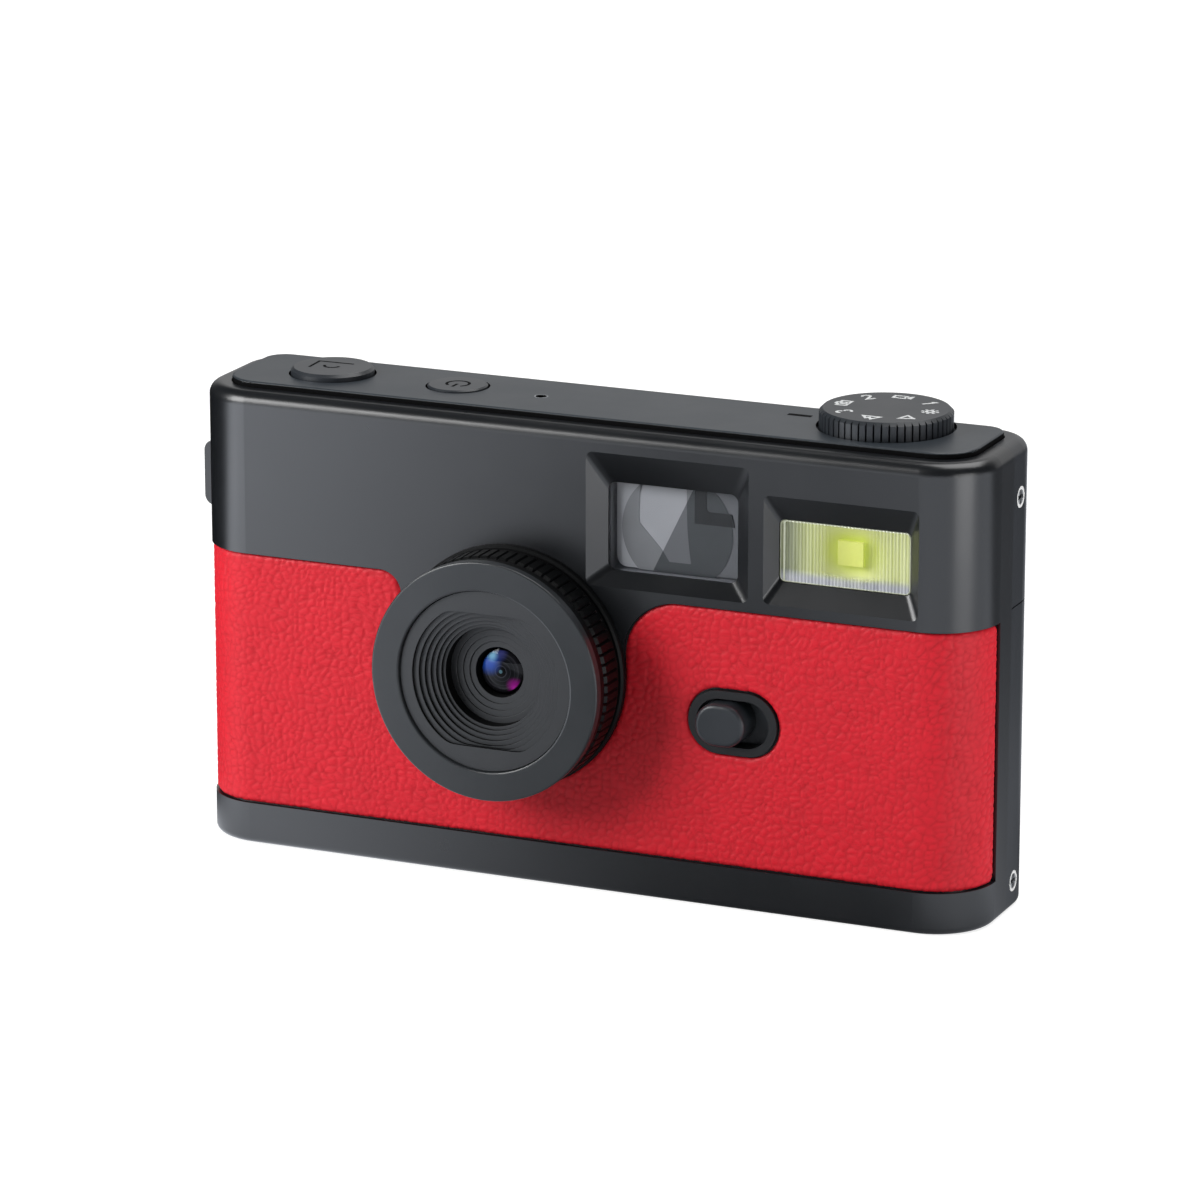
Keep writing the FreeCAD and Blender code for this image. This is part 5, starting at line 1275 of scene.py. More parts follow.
        # the sunk skirt takes the full crease colour: painted shade at the let-in edge
        crease = np.concatenate([crease, np.ones(len(rim))])
        used, faces = np.unique(np.concatenate([quads, skirt]), return_inverse=True)
        piece = add_piece(
            "leather_panel", points[used], faces.reshape(-1, 4), self.finish.make(), "casing"
        )
        store = piece.data.attributes.new("crease", "FLOAT", "POINT")
        store.data.foreach_set("value", crease[used].astype(np.float32))
        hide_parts("front_leather")
        return piece


def arc(centre: Spot, radius: float, start: float, stop: float, count: int = 24) -> list:
    """Points on a circle from one angle to another.

    Args:
        centre: The circle's middle.
        radius: Its radius.
        start: First angle in degrees.
        stop: Last angle in degrees.
        count: Number of points.

    Returns:
        The points in order.
    """
    angles = np.radians(np.linspace(start, stop, count))
    return list(zip(centre[0] + radius * np.cos(angles), centre[1] + radius * np.sin(angles)))


class Mark(Enum):
    """Generic signs: each stroke is its points, within about one unit, and whether it closes."""

    CAMERA_FRAME = [
        ([(-1.33, -0.86), (-1.43, 0.95), (1.1, 1.0)], False),
        (arc((-0.05, 0.02), 0.52, 180, 360), False)
    ]
    POWER = [(arc((0, -0.05), 0.8, 125, 415), False), ([(0.0, 0.95), (0.0, 0.05)], False)]
    CAMERA = [
        (
            [
                (-1, -0.65), (1, -0.65), (1, 0.45), (0.45, 0.45), (0.3, 0.75), (-0.3, 0.75),
                (-0.45, 0.45), (-1, 0.45)
            ],
            True
        ),
        (arc((0, -0.1), 0.36, 0, 345), True)
    ]
    ONE = [([(-0.35, 0.5), (0.1, 0.85), (0.1, -0.85)], False)]
    TWO = [(arc((0, 0.4), 0.45, 170, -35, 14) + [(-0.5, -0.85), (0.55, -0.85)], False)]
    THREE = [
        (arc((-0.02, 0.43), 0.42, 155, -90, 14), False),
        (arc((-0.02, -0.43), 0.44, 90, -155, 14), False)
    ]
    PLAY = [([(-0.6, -0.75), (0.8, 0.0), (-0.6, 0.75)], True)]
    FILM = [
        ([(-1.0, -0.5), (0.35, -0.5), (0.35, 0.5), (-1.0, 0.5)], True),
        ([(0.55, -0.1), (1.0, -0.4), (1.0, 0.4), (0.55, 0.1)], True)
    ]
    SUN = [(arc((0, 0), 0.4, 0, 345), True)] + [
        ([(0.65 * math.cos(a), 0.65 * math.sin(a)), (math.cos(a), math.sin(a))], False)
        for a in [k * math.pi / 4 for k in range(8)]
    ]
    HILLS = [([(-1.0, -0.6), (-0.3, 0.6), (0.1, -0.1), (0.4, 0.3), (1.0, -0.6)], True)]
    MENU = [([(-0.8, h), (0.8, h)], False) for h in (0.55, 0.0, -0.55)]
    UP = [([(-0.7, -0.4), (0.0, 0.45), (0.7, -0.4)], False)]
    DOWN = [([(-0.7, 0.4), (0.0, -0.45), (0.7, 0.4)], False)]
    RING = [(arc((0, 0), 0.6, 0, 345), True)]
    BAR = [([(-1.0, 0.0), (1.0, 0.0)], False)]


def stroke_strip(points: list, closed: bool, width: float) -> tuple[Array, Array]:
    """Widens a line to a flat strip, mitred at its bends.

    Args:
        points: The line's points.
        closed: Whether its ends join.
        width: The strip's width.

    Returns:
        The strip's points and its quads.
    """
    line = np.asarray(points, float)
    if closed:
        before, after = np.roll(line, 1, 0), np.roll(line, -1, 0)
    else:
        before = np.vstack([2 * line[0] - line[1], line[:-1]])
        after = np.vstack([line[1:], 2 * line[-1] - line[-2]])
    come, go = line - before, after - line
    come /= np.linalg.norm(come, axis=1)[:, None]
    go /= np.linalg.norm(go, axis=1)[:, None]
    square = np.stack([-(come + go)[:, 1], (come + go)[:, 0]], 1)
    square /= np.linalg.norm(square, axis=1)[:, None]
    sharpest = 0.4
    lean = np.maximum((square * np.stack([-go[:, 1], go[:, 0]], 1)).sum(1), sharpest)
    reach = square * (width / 2 / lean)[:, None]
    strip = np.stack([line - reach, line + reach])
    return strip.reshape(-1, 2), grid_quads(2, len(line), closed)


@dataclass(frozen=True)
class PrintedMark:
    """A sign printed or engraved on a face, about a hundredth of a millimetre proud of it."""

    name: str
    mark: Mark
    centre: Place
    size: float
    side: Side
    body: str
    width: float = 0.4
    turn: float = 0.0
    thick: float = 0.012

    def build(self, finish: Material) -> Object:
        """Lays every stroke on the face.

        Args:
            finish: The ink.

        Returns:
            The mark as one piece.
        """
        right, up = (np.array(v) for v in self.side.value)
        out = np.cross(right, up)
        cosine, sine = math.cos(math.radians(self.turn)), math.sin(math.radians(self.turn))
        points, faces = [], []
        for line, closed in self.mark.value:
            strip, quads = stroke_strip(np.asarray(line) * self.size, closed, self.width)
            flat = strip @ np.array([[cosine, sine], [-sine, cosine]])
            base = np.array(self.centre) + flat[:, :1] * right + flat[:, 1:] * up
            faces.append(quads + sum(len(p) for p in points))
            points.append(base + out * self.thick)
        return add_piece(
            self.name, np.concatenate(points), np.concatenate(faces), finish, self.body, False
        )


def rounded_ring(half_u: float, half_v: float, corner: float, count: int = 12) -> Array:
    """Points round a rounded rectangle, anticlockwise from its right side.

    Args:
        half_u: Half its width.
        half_v: Half its height.
        corner: Its corner radius.
        count: Points on each corner.

    Returns:
        The points about its middle.
    """
    corner = max(min(corner, half_u, half_v), 1e-4)
    angles = np.linspace(0, np.pi / 2, count)
    ring = []
    for turn, (u, v) in enumerate(((1, 1), (-1, 1), (-1, -1), (1, -1))):
        a = angles + turn * np.pi / 2
        ring.append(
            np.stack(
                [
                    u * (half_u - corner) + corner * np.cos(a),
                    v * (half_v - corner) + corner * np.sin(a)
                ],
                1
            )
        )
    return np.concatenate(ring)


def stepped_plate(
    centre: Place, half: Spot, corner: float, steps: list[Spot], side: Side
) -> tuple[Array, list]:
    """A plate with a rounded outline whose edge follows a profile, closed by a flat middle.

    Args:
        centre: A point on its reference plane.
        half: Half its width and half its height at no inset.
        corner: Corner radius at no inset.
        steps: Inset and height over the plane, from the back edge to the face.
        side: The face it looks out of.

    Returns:
        Points and faces.
    """
    right, up = (np.array(v) for v in side.value)
    out = np.cross(right, up)
    rings = []
    for inset, lift in steps:
        flat = rounded_ring(half[0] - inset, half[1] - inset, corner - inset)
        rings.append(np.array(centre) + flat[:, :1] * right + flat[:, 1:] * up + out * lift)
    count = len(rings[0])
    faces = grid_quads(len(rings), count, True).tolist()
    faces.append([(len(rings) - 1) * count + k for k in range(count)])
    return np.concatenate(rings), faces


@dataclass
class FlashUnit:
    """The flash: a ribbed window with a bevelled edge, a trough of a reflector and its diode."""

    centre: Spot = (39.15, 51.4)
    window_half: Spot = (9.5, 4.35)
    window_corner: float = 0.8
    window_face: float = -9.95
    flange_half: Spot = (10.6, 5.45)
    flange_face: float = -9.65
    back: float = -8.72
    trough_half: Spot = (10.4, 5.25)
    trough_mouth: float = -8.66
    trough_floor: float = -6.75
    trough_cells: tuple[int, int] = (64, 32)
    trough_powers: Spot = (6, 2.4)
    bevel: Section = ((0.0, 0.16), (0.1, 0.02), (0.16, 0.0), (0.26, 0.0))
    lens: RibbedLens = RibbedLens("ribbed polycarbonate", "e6edb8")
    # the trough's painted reflection of the phosphor, with a painted glow
    mirror: FlashReflector = FlashReflector(
        "aluminised reflector", "dde86c", "eef2b0", centre_mm=(39.15, -7.0, 51.4), reach_mm=8.0
    )

    def window(self, finish: Material) -> Object:
        """The window: a flange behind the lip, then a plate that fills the opening.

        Args:
            finish: The ribbed polycarbonate.

        Returns:
            The window piece.
        """
        x, z = self.centre
        lip = self.flange_half[0] - self.window_half[0]
        steps = [(0.0, -self.back), (0.0, -self.flange_face), (lip, -self.flange_face)]
        steps += [(lip + inset, -self.window_face - drop) for inset, drop in self.bevel]
        points, faces = stepped_plate(
            (x, 0.0, z), self.flange_half, self.window_corner + lip, steps, Side.FRONT
        )
        piece = add_piece("flash_ribbed_window", points, faces, finish, "casing", False)
        around = len(points) // len(steps)
        # the bevel's rows carry the painted highlight of the window's rim
        rim = np.repeat([0.0, 0.0, 1.0, 1.0, 1.0, 0.9, 0.0], around)
        piece.data.attributes.new("rim", "FLOAT", "POINT").data.foreach_set("value", rim)
        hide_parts("flash_window")
        return piece

    def trough(self, finish: Material) -> Object:
        """The reflector: a trough, flat along its floor and curving up towards every side.

        Args:
            finish: The aluminised plastic.

        Returns:
            The reflector piece.
        """
        wide, high = (cells + 1 for cells in self.trough_cells)
        u, v = np.meshgrid(np.linspace(-1, 1, wide), np.linspace(-1, 1, high))
        bowl = (1 - u ** self.trough_powers[0]) * (1 - np.abs(v) ** self.trough_powers[1])
        y = self.trough_mouth + (self.trough_floor - self.trough_mouth) * bowl
        x = self.centre[0] + u * self.trough_half[0]
        z = self.centre[1] + v * self.trough_half[1]
        points = np.stack([x, y, z], -1)
        piece = add_piece("flash_trough", points, grid_quads(high, wide), finish, "casing")
        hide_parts("flash_reflector")
        return piece

    def build(self) -> None:
        """Builds the window, then the reflector behind it."""
        self.window(self.lens.make())
        self.trough(self.mirror.make())


@dataclass
class Dressing:
    """Gives each CAD node its finish: pairs of a finish and the nodes that take it.

    The comment over each node says what the part is and what its finish gives the eye.
    """

    coats: tuple[tuple[Finish, tuple[str, ...]], ...] = (
        (MouldedPlastic("charcoal moulded abs", "16181b", 0.3, specular=0.62), (
            # front casing of ABS: satin charcoal, its erosion grain softening every highlight
            "front_shell",
        )),
        (MouldedPlastic("charcoal rear covers", "212428", 0.36, specular=0.62), (
            # upper rear cover: the same ABS in a duller tool, so greyer than the front
            "rear_upper_cover",
            # lower rear cover: the same dull charcoal, parted from the upper by a dark seam
            "rear_lower_cover",
            # battery door in the base: dull charcoal with broad, weak highlights
            "battery_door",
        )),
        (EdgedPlastic("fine grained abs plate", "2c3238", 0.42), (
            # raised plate on top: a finer, bluer grain, with painted shade along its upright edge
            "top_plate",
        )),
        (MouldedPlastic("black acetal trim", "1c1d1f", 0.34, lift_mm=0.002), (
            # oval frame round the slider: black, with a slight gloss on its rim
            "slider_frame",
            # frame round the eyepiece: the same black with a thin line of light
            "eyepiece_frame",
            # strap lug at the side: black, glossy over its rounded bar
            "strap_lug",
        )),
        (MouldedPlastic("acetal buttons", "292d32", 0.38, lift_mm=0.002), (
            # ribbed knob of the slider: smooth dark grey, polished by the thumb
            "slider_knob",
            # shutter button: dark grey disc with a soft ring of light at its edge
            "shutter_button",
            # power button: a smaller disc of the same polished grey
            "power_button",
            # keys on the rear: smooth dark grey, each with a soft highlight
            "menu_key", "play_key", "up_key", "ok_key", "down_key",
        )),
        (MouldedPlastic("black abs dial", "262a2f", 0.4), (
            # mode dial: matt black face over a crisp knurl that catches the light
            "mode_dial",
        )),
        (MouldedPlastic("satin lens plastic", "0c0d0e", 0.5, specular=0.14), (
            # flange at the lens's foot: smooth satin black, nearly without shine
            "lens_base_flange",
            # barrel inside the rings: the same deep satin black
            "lens_barrel",
        )),
        (MouldedPlastic("matt baffle plastic", "2a2c2e", 0.5), (
            # cell round the front glass: matt black that kills stray light
            "lens_cell",
        )),
        (MouldedPlastic("black inner abs", "17181a", 0.55), (
            # holders of cell and sensor, inside: unpainted black ABS
            "battery_holder", "sensor_holder",
        )),
        (MouldedPlastic("grey tunnel abs", "8f929a", 0.5), (
            # tunnel of the viewfinder: plain grey, seen through its window
            "viewfinder_tunnel",
        )),
        (ClearPane("viewfinder acrylic", "3c4046", alpha=0.1, specular=0.3), (
            # viewfinder window: clear, faintly grey, with sharp weak reflections
            "viewfinder_window",
            # eyepiece glass: the same clear grey in front of the tunnel's end
            "eyepiece_glass",
            # flat pane of the flash, for which the ribbed window stands
            "flash_window",
        )),
        (CoatedElement("coated front lens", "2038b0", LENS_AXIS, 3.05), (
            # front lens: a black dome with painted reflections, crescents blue to magenta
            "front_glass",
        )),
        (CoatedElement("coated rear lens", "102060", LENS_AXIS, 2.6), (
            # rear lens, inside: the same painted reflections on a smaller glass
            "rear_glass",
        )),
        (ClearPane("cyan infrared filter", "a8e0ea", alpha=0.5), (
            # infrared filter, inside: thin cyan glass
            "infrared_filter",
        )),
        (SmokedGlass("smoked display glass", "08080a", (-20.6, 31.4, 5.6, 39.9)), (
            # display glass: black and mirror smooth, its active area a shade lighter
            "display_glass",
        )),
        (MouldedPlastic("display panel frame", "0b0c0d", 0.3), (
            # display module behind the glass: black metal-backed panel
            "display_module",
        )),
        (Phosphor("yellow phosphor", "d6dc74"), (
            # diode of the flash: waxy yellow phosphor with a painted glow, seen through the window
            "flash_emitter",
        )),
        (CircuitBoard("green solder mask board", "0d4a26"), (
            # boards, inside: green solder mask over a paler net of tracks
            "main_board", "sensor_board", "flash_board", "button_board", "dial_board", "key_board",
        )),
        (MouldedPlastic("silicon sensor", "14161f", 0.12, lift_mm=0.001), (
            # image sensor, inside: dark mirror-like silicon
            "image_sensor",
        )),
        (PressedSheet("tinned steel can", "b9bbb8"), (
            # sockets in the side wall: dull tinned steel, streaked along its rolling
            "usb_socket", "card_socket",
            # microphone and speaker behind their holes: the same dull steel, a grey glimmer
            "microphone", "speaker",
            # shield, switches and encoder, inside: pressed and tinned cans
            "shield_can", "slide_switch", "dial_encoder", "tact_switches",
            # reflector of the flash, for which the trough stands
            "flash_reflector",
        )),
        (TurnedMetal("turned steel", "8e9092", roughness=0.3), (
            # hinge pin of the door: turned steel with fine rings of light
            "door_hinge_pin",
            # shaft, key domes and screws, inside: the same bright steel
            "dial_shaft", "key_domes", "board_screws",
        )),
        (CrossHeadMetal("nickel plated screws", "ffffff"), (
            # side screws: nickel plate with a painted highlight on the rim and painted shade in the
            # dished head and its cross
            "side_screws",
        )),
        (TurnedMetal("turned brass", "b08d45", centre_mm=(30.0, -4.4, 0.0)), (
            # tripod insert in the base: warm turned brass round its thread
            "tripod_insert",
            # contacts of the cell, inside: the same brass
            "battery_contacts",
        )),
        (CellWrap("lithium cell film", "7f8fa6", low_mm=4.0, high_mm=48.0), (
            # lithium cell, inside: silver-blue film with dark ends
            "battery",
        )),
    )

    def build(self) -> None:
        """Makes each finish once and puts it in the slots of its nodes."""
        left = set(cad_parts)
        for finish, names in self.coats:
            material = finish.make()
            for name in names:
                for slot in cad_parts[name].material_slots:
                    slot.link = "OBJECT"
                    slot.material = material
                left.discard(name)
            LOG.info("%s: %s", finish.name, ", ".join(names))
        LOG.info("nodes left to pieces of the scene: %s", ", ".join(sorted(left)))


@dataclass
class SignPrinting:
    """The signs printed or engraved on the dial, the buttons, the keys and the top face."""

    white: PrintInk = PrintInk("white pad print", "e2e4e4")
    # black, hardly shining ink for the engraved lines: painted shade of their grooves
    dark: PrintInk = PrintInk("dark engraved line", "020203", specular=0.03)
    grey: PrintInk = PrintInk("turned rim of the microphone", "85888b")
    dial_signs: tuple[Mark, ...] = (
        Mark.SUN, Mark.ONE, Mark.FILM, Mark.TWO, Mark.CAMERA, Mark.THREE, Mark.HILLS, Mark.PLAY
    )
    dial_middle: Place = (40, 2.8, 69.45)
    dial_ring: float = 6.3
    dial_size: float = 1.25
    dial_line: float = 0.42
    # the shutter and power signs are engraved lines drawn as black strips: painted shade of their
    # grooves
    engraved: tuple[PrintedMark, ...] = (
        PrintedMark(
            "shutter_sign", Mark.CAMERA_FRAME, (-42.5, 0.5, 67.85), 2.1, Side.TOP, "shutter", 0.42
        ),
        PrintedMark(
            "power_sign", Mark.POWER, (-23.1, 0.5, 67.15), 2.0, Side.TOP, "power", 0.42, 180
        ),
        PrintedMark("index_inlay", Mark.BAR, (27.0, 3.7, 66.85), 1.75, Side.TOP, "casing", 1.0)
    )
    microphone_rim: PrintedMark = PrintedMark(
        "microphone_rim", Mark.RING, (-9.9, -0.5, 66.85), 1.5, Side.TOP, "casing", 0.22
    )
    keys: tuple[tuple[str, Mark, float, float], ...] = (
        ("menu", Mark.MENU, -49.0, 35.9), ("play", Mark.PLAY, -36.0, 35.9),
        ("up", Mark.UP, -42.5, 28.1), ("ok", Mark.RING, -42.5, 20.3),
        ("down", Mark.DOWN, -42.5, 12.5)
    )
    key_face: float = 12.5
    key_size: float = 0.95
    key_line: float = 0.3

    def on_dial(self) -> list[PrintedMark]:
        """Sets the dial's signs in a ring, each with its foot towards the middle.

        Returns:
            The dial's signs.
        """
        x, y, z = self.dial_middle
        step = 360 // len(self.dial_signs)
        signs = []
        for number, sign in enumerate(self.dial_signs):
            angle = math.radians(step * number)
            place = (x + self.dial_ring * math.cos(angle), y + self.dial_ring * math.sin(angle), z)
            name = f"dial_sign_{sign.name.lower()}"
            turn = step * number - 90
            signs.append(
                PrintedMark(
                    name, sign, place, self.dial_size, Side.TOP, "dial", self.dial_line, turn
                )
            )
        return signs

    def on_keys(self) -> list[PrintedMark]:
        """Sets one sign on each key.

        Returns:
            The keys' signs.
        """
        return [
            PrintedMark(
                f"{name}_sign", sign, (x, self.key_face, z), self.key_size, Side.REAR, name,
                self.key_line
            )
            for name, sign, x, z in self.keys
        ]

    def build(self) -> None:
        """Prints the dial in white, lays the top face's engraved lines in black as painted shade,
        then prints the keys.
        """
        white, dark, grey = (ink.make() for ink in (self.white, self.dark, self.grey))
        for mark in self.on_dial():
            mark.build(white)
        for mark in self.engraved:
            mark.build(dark)
        self.microphone_rim.build(grey)
        for mark in self.on_keys():
            mark.build(white)


def softened_flat(radius: float, flat: float, angles: Array) -> Array:
    """Radius round a circle cut by two level flats, with its corners eased.

    Args:
        radius: The circle's radius.
        flat: Distance of the flats from its middle.
        angles: Directions from the middle, in radians.

    Returns:
        The radius in each direction.
    """
    least_slope, sharpness = 0.05, 44.0
    level = flat / np.maximum(np.abs(np.sin(angles)), least_slope)
    return (radius**-sharpness + level**-sharpness) ** (-1 / sharpness)


def closed_rings(rings: Array) -> tuple[Array, Array]:
    """Joins rings of points, the last one to the first, into a closed surface facing outwards.

    Args:
        rings: Points as rings, places round a ring, and three coordinates.

    Returns:
        Points and quads.
    """
    count, around = rings.shape[:2]
    faces = grid_quads(count + 1, around, True)
    faces = np.where(faces >= count * around, faces - count * around, faces)
    points = rings.reshape(-1, 3)
    middle = points - points.mean(0)
    a, b, c = (middle[faces[:, k]] for k in (0, 1, 2))
    volume = (a * np.cross(b, c)).sum() + (a * np.cross(c, middle[faces[:, 3]])).sum()
    return points, faces if volume > 0 else faces[:, ::-1]


@dataclass
class TurnedPiece:
    """A closed surface turned about the lens axis, standing for one CAD node.

    Its section lists radius and distance in front of the camera's middle plane, round the section.
    """

    name: str
    node: str
    slot: str
    body: str
    section: Section
    columns: int = 192
    axis: Spot = LENS_AXIS
    sharp_angle: float = 32.0

    def radii(self, angles: Array) -> Array:
        """Radius of every point of the section in every direction, a row for each point."""
        return np.array([np.full_like(angles, radius) for radius, _ in self.section])

    def build(self, finish: Material, wall: Material | None = None) -> Object:
        """Turns the section.

        Args:
            finish: Its material.
            wall: The material of the faces along the axis, where it differs.

        Returns:
            The piece.
        """
        angles = np.linspace(0, 2 * np.pi, self.columns, endpoint=False)
        radii = self.radii(angles)
        depth = np.array([place for _, place in self.section])[:, None]
        x = self.axis[0] + radii * np.cos(angles)
        z = self.axis[1] + radii * np.sin(angles)
        rings = np.stack([x, np.broadcast_to(-depth, x.shape), z], -1)
        piece = add_piece(self.name, *closed_rings(rings), finish, self.body)
        piece.data.set_sharp_from_angle(angle=math.radians(self.sharp_angle))
        # where a wall material is given, the upright faces take it: painted shade of the baffle's
        # steps
        if wall is not None:
            piece.data.materials.append(wall)
            facing = np.empty(3 * len(piece.data.polygons), np.float32)
            piece.data.polygons.foreach_get("normal", facing)
            upright = np.abs(facing.reshape(-1, 3)[:, 1]) < 0.5
            piece.data.polygons.foreach_set("material_index", upright.astype(np.int32))
        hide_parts(self.node)
        return piece


@dataclass
class SteppedWell(TurnedPiece):
    """The light baffle: shallow steps cut by two flats, a deep step, then four fine rings."""

    rims: tuple[float, ...] = (11.0, 10.2, 9.5, 8.8, 8.15, 7.55)
    flat: float = 9.57
    drop: float = 0.42
    edge: float = 0.05
    deep: Spot = (7.1, 16.58)
    inner: Spot = (0.875, 0.2)
    inner_rings: int = 4
    flat_lean: float = 0.001

    def steps(self) -> list[Spot]:
        """Lists the steps from the widest in.

        Returns:
            Radius and foot of every step.
        """
        face = self.section[-1][1]
        found = [(rim, face - self.drop * (k + 1)) for k, rim in enumerate(self.rims)]
        radius, foot = self.deep
        step_in, drop = self.inner
        found += [(radius - step_in * k, foot - drop * k) for k in range(self.inner_rings + 1)]
        return found

    def __post_init__(self) -> None:
        """Works the steps out as a section: an eased edge, a wall and a floor for each."""
        face = self.section[-1][1]
        rows = []
        for radius, foot in self.steps():
            rows += [(radius + self.edge, face), (radius, face - self.edge), (radius, foot)]
            face = foot
        self.section = self.section + tuple(rows)

    def radii(self, angles: Array) -> Array:
        """Lets the widest rims follow the flats, and keeps everything else round.

        Args:
            angles: Directions round the axis, in radians.

        Returns:
            One row for each point of the section.
        """
        low = self.section[3][1]
        rows = []
        for radius, place in self.section:
            cut = place > low and self.rims[3] < radius < self.rims[0] + 2 * self.edge
            flat = self.flat + radius * self.flat_lean
            rows.append(
                softened_flat(radius, flat, angles) if cut else np.full_like(angles, radius)
            )
        return np.array(rows)


@dataclass
class RibbedRing(TurnedPiece):
    """The focus ring: a smooth band in front, a groove, then upright ribs with cut front ends."""

    ribs: int = 76
    depth: float = 0.38
    share: float = 0.3
    high: float = 16.9
    roundness: float = 0.6

    def radii(self, angles: Array) -> Array:
        """Lets the rows over the ribs' root dip between the ribs.

        Args:
            angles: Directions round the axis, in radians.

        Returns:
            One row for each point of the section.
        """
        phase = np.mod(angles * self.ribs / (2 * np.pi), 1.0)
        dip = np.clip(1 - np.abs(phase - 0.5) / (self.share / 2), 0, 1) ** self.roundness
        level = np.zeros_like(angles)
        return np.array(
            [r - (self.depth * dip if r > self.high else level) for r, _ in self.section]
        )


def flat_plate(
    name: str, outline: list[Spot], face: float, thick: float, finish: Material
) -> Object:
    """A thin upright plate across the viewfinder.

    Args:
        name: The piece's name.
        outline: Corners as x and z, anticlockwise as seen from the front.
        face: Its front plane, as y.
        thick: Its thickness.
        finish: Its material.

    Returns:
        The plate, fixed to the casing.
    """
    count = len(outline)
    points = [(x, y, z) for y in (face, face + thick) for x, z in outline]
    faces = [list(range(count)), list(range(2 * count - 1, count - 1, -1))]
    faces += [[k, k + count, (k + 1) % count + count, (k + 1) % count] for k in range(count)]
    return add_piece(name, np.array(points), faces, finish, "casing", False)


@dataclass
class FinderOptics:
    """What shows through the viewfinder window: a frosted plate, a lens holder and a bracket."""

    low: float = 45.95
    high: float = 58.35
    right: float = 23.45
    middle: Spot = (13.88, 51.88)
    radius: float = 8.22
    planes: Place = (-8.1, -8.15, -8.2)
    thick: float = 0.3
    # the plates' right parts are darker: painted shade beyond a slanting edge
    frosted: HalfPaintedShade = HalfPaintedShade("frosted finder plate", "bcbfc7", smoked="777a80")
    grey: HalfPaintedShade = HalfPaintedShade("grey lens holder", "8e9196", smoked="4c5054")
    black: MouldedPlastic = MouldedPlastic("black finder bracket", "1d1f21", roughness=0.5)

    def frost(self) -> list[Spot]:
        """Outline of the frosted plate, its lower left corner rounded."""
        corner = arc((6.4, 47.6), 1.5, 180, 270, 8)
        return corner + [(self.right, self.low + 0.15), (self.right, self.high), (4.9, self.high)]

    def holder(self) -> list[Spot]:
        """Outlines the round lens holder, cut at top and bottom, with its notch.

        Returns:
            Corners as x and z, anticlockwise.
        """
        x, z = self.middle
        top = math.degrees(math.asin((self.high - z) / self.radius))
        bottom = math.degrees(math.asin((self.low - z) / self.radius))
        left_side = arc(self.middle, self.radius, 180 - top, 180 - bottom, 20)
        right_side = arc(self.middle, self.radius, bottom, top, 20)
        notch = [
            (15.25, self.high), (15.25, 55.5), (15.36, 52.4), (15.6, 49.8), (15.92, 47.44),
            (12.67, 47.44), (11.37, 49.33), (8.25, 52.6), (8.19, 54.0), (8.3, 56.6),
            (8.5, self.high)
        ]
        return left_side + right_side + notch

    def mask(self) -> list[Spot]:
        """Outlines the dark bracket over the holder's right half.

        Returns:
            Corners as x and z, anticlockwise.
        """
        corner = arc((18.75, 55.65), 0.55, 180, 270, 6)
        return [
            (16.45, self.high), (16.45, 53.3), (22.35, 53.3), (21.95, 55.1), *reversed(corner),
            (18.2, self.high)
        ]

    def build(self) -> None:
        """Sets the three plates one behind another."""
        plates = (
            ("finder_frosted_plate", self.frost(), self.frosted),
            ("finder_lens_holder", self.holder(), self.grey),
            ("finder_bracket", self.mask(), self.black)
        )
        for (name, outline, finish), face in zip(plates, self.planes):
            flat_plate(name, outline, face, self.thick, finish.make())


@dataclass
class LensTurning:
    """The front ring, the focus ring and the baffle, turned finer than the solids allow.

    A section lists radius and distance in front of the camera's middle plane, round the section.
    """

    smooth: MouldedPlastic = MouldedPlastic("satin front ring", "2b2e31", roughness=0.3)
    rubber: MouldedPlastic = MouldedPlastic(
        "black hard rubber ring", "08090a", roughness=0.42, specular=0.17
    )
    # near-black upright walls of the baffle's steps: painted shade of the steps
    painted_wall_shade: MouldedPlastic = MouldedPlastic(
        "flocked step walls", "0c0d0e", roughness=0.8, specular=0.1
    )
    matt: MouldedPlastic = MouldedPlastic("matt baffle steps", "2c2e31", roughness=0.48)
    front_ring: Section = (
        (12.9, 20.0), (17.0, 20.0), (17.0, 21.18), (16.97, 21.28), (16.9, 21.35), (16.8, 21.4),
        (16.7, 21.4), (13.2, 21.4), (13.09, 21.4), (12.96, 21.33), (12.9, 21.18)
    )
    focus_ring: Section = (
        (15.25, 13.3), (16.6, 13.3), (16.8, 13.45), (16.8, 13.95), (17.0, 14.1), (17.0, 17.7),
        (16.6, 18.15), (16.6, 18.35), (16.82, 18.5), (16.82, 19.7), (16.65, 19.9), (15.25, 19.9)
    )
    baffle_back: Section = (
        (3.45, 14.48), (12.0, 14.48), (12.0, 19.1), (12.85, 19.1), (12.85, 20.82), (12.77, 20.9)
    )
    ring_columns: int = 912
    baffle_columns: int = 288

    def build(self) -> None:
        """Turns the three pieces and gives them their finishes."""
        finishes = (self.smooth, self.rubber, self.painted_wall_shade, self.matt)
        smooth, rubber, painted_wall_shade, matt = (finish.make() for finish in finishes)
        TurnedPiece(
            "turned_front_ring", "lens_front_ring", "lens_plastic", "casing", self.front_ring
        ).build(smooth)
        RibbedRing(
            "ribbed_focus_ring", "focus_ring", "knurled_plastic", "focus_ring", self.focus_ring,
            self.ring_columns
        ).build(rubber)
        # the baffle's upright walls take the painted shade
        SteppedWell(
            "stepped_baffle", "light_baffle", "baffle", "casing", self.baffle_back,
            self.baffle_columns
        ).build(matt, painted_wall_shade)


# fades of a card: direction on the floor, start and end in metres, level before and after
Card = tuple[tuple[Spot, float, float, float, float], ...]


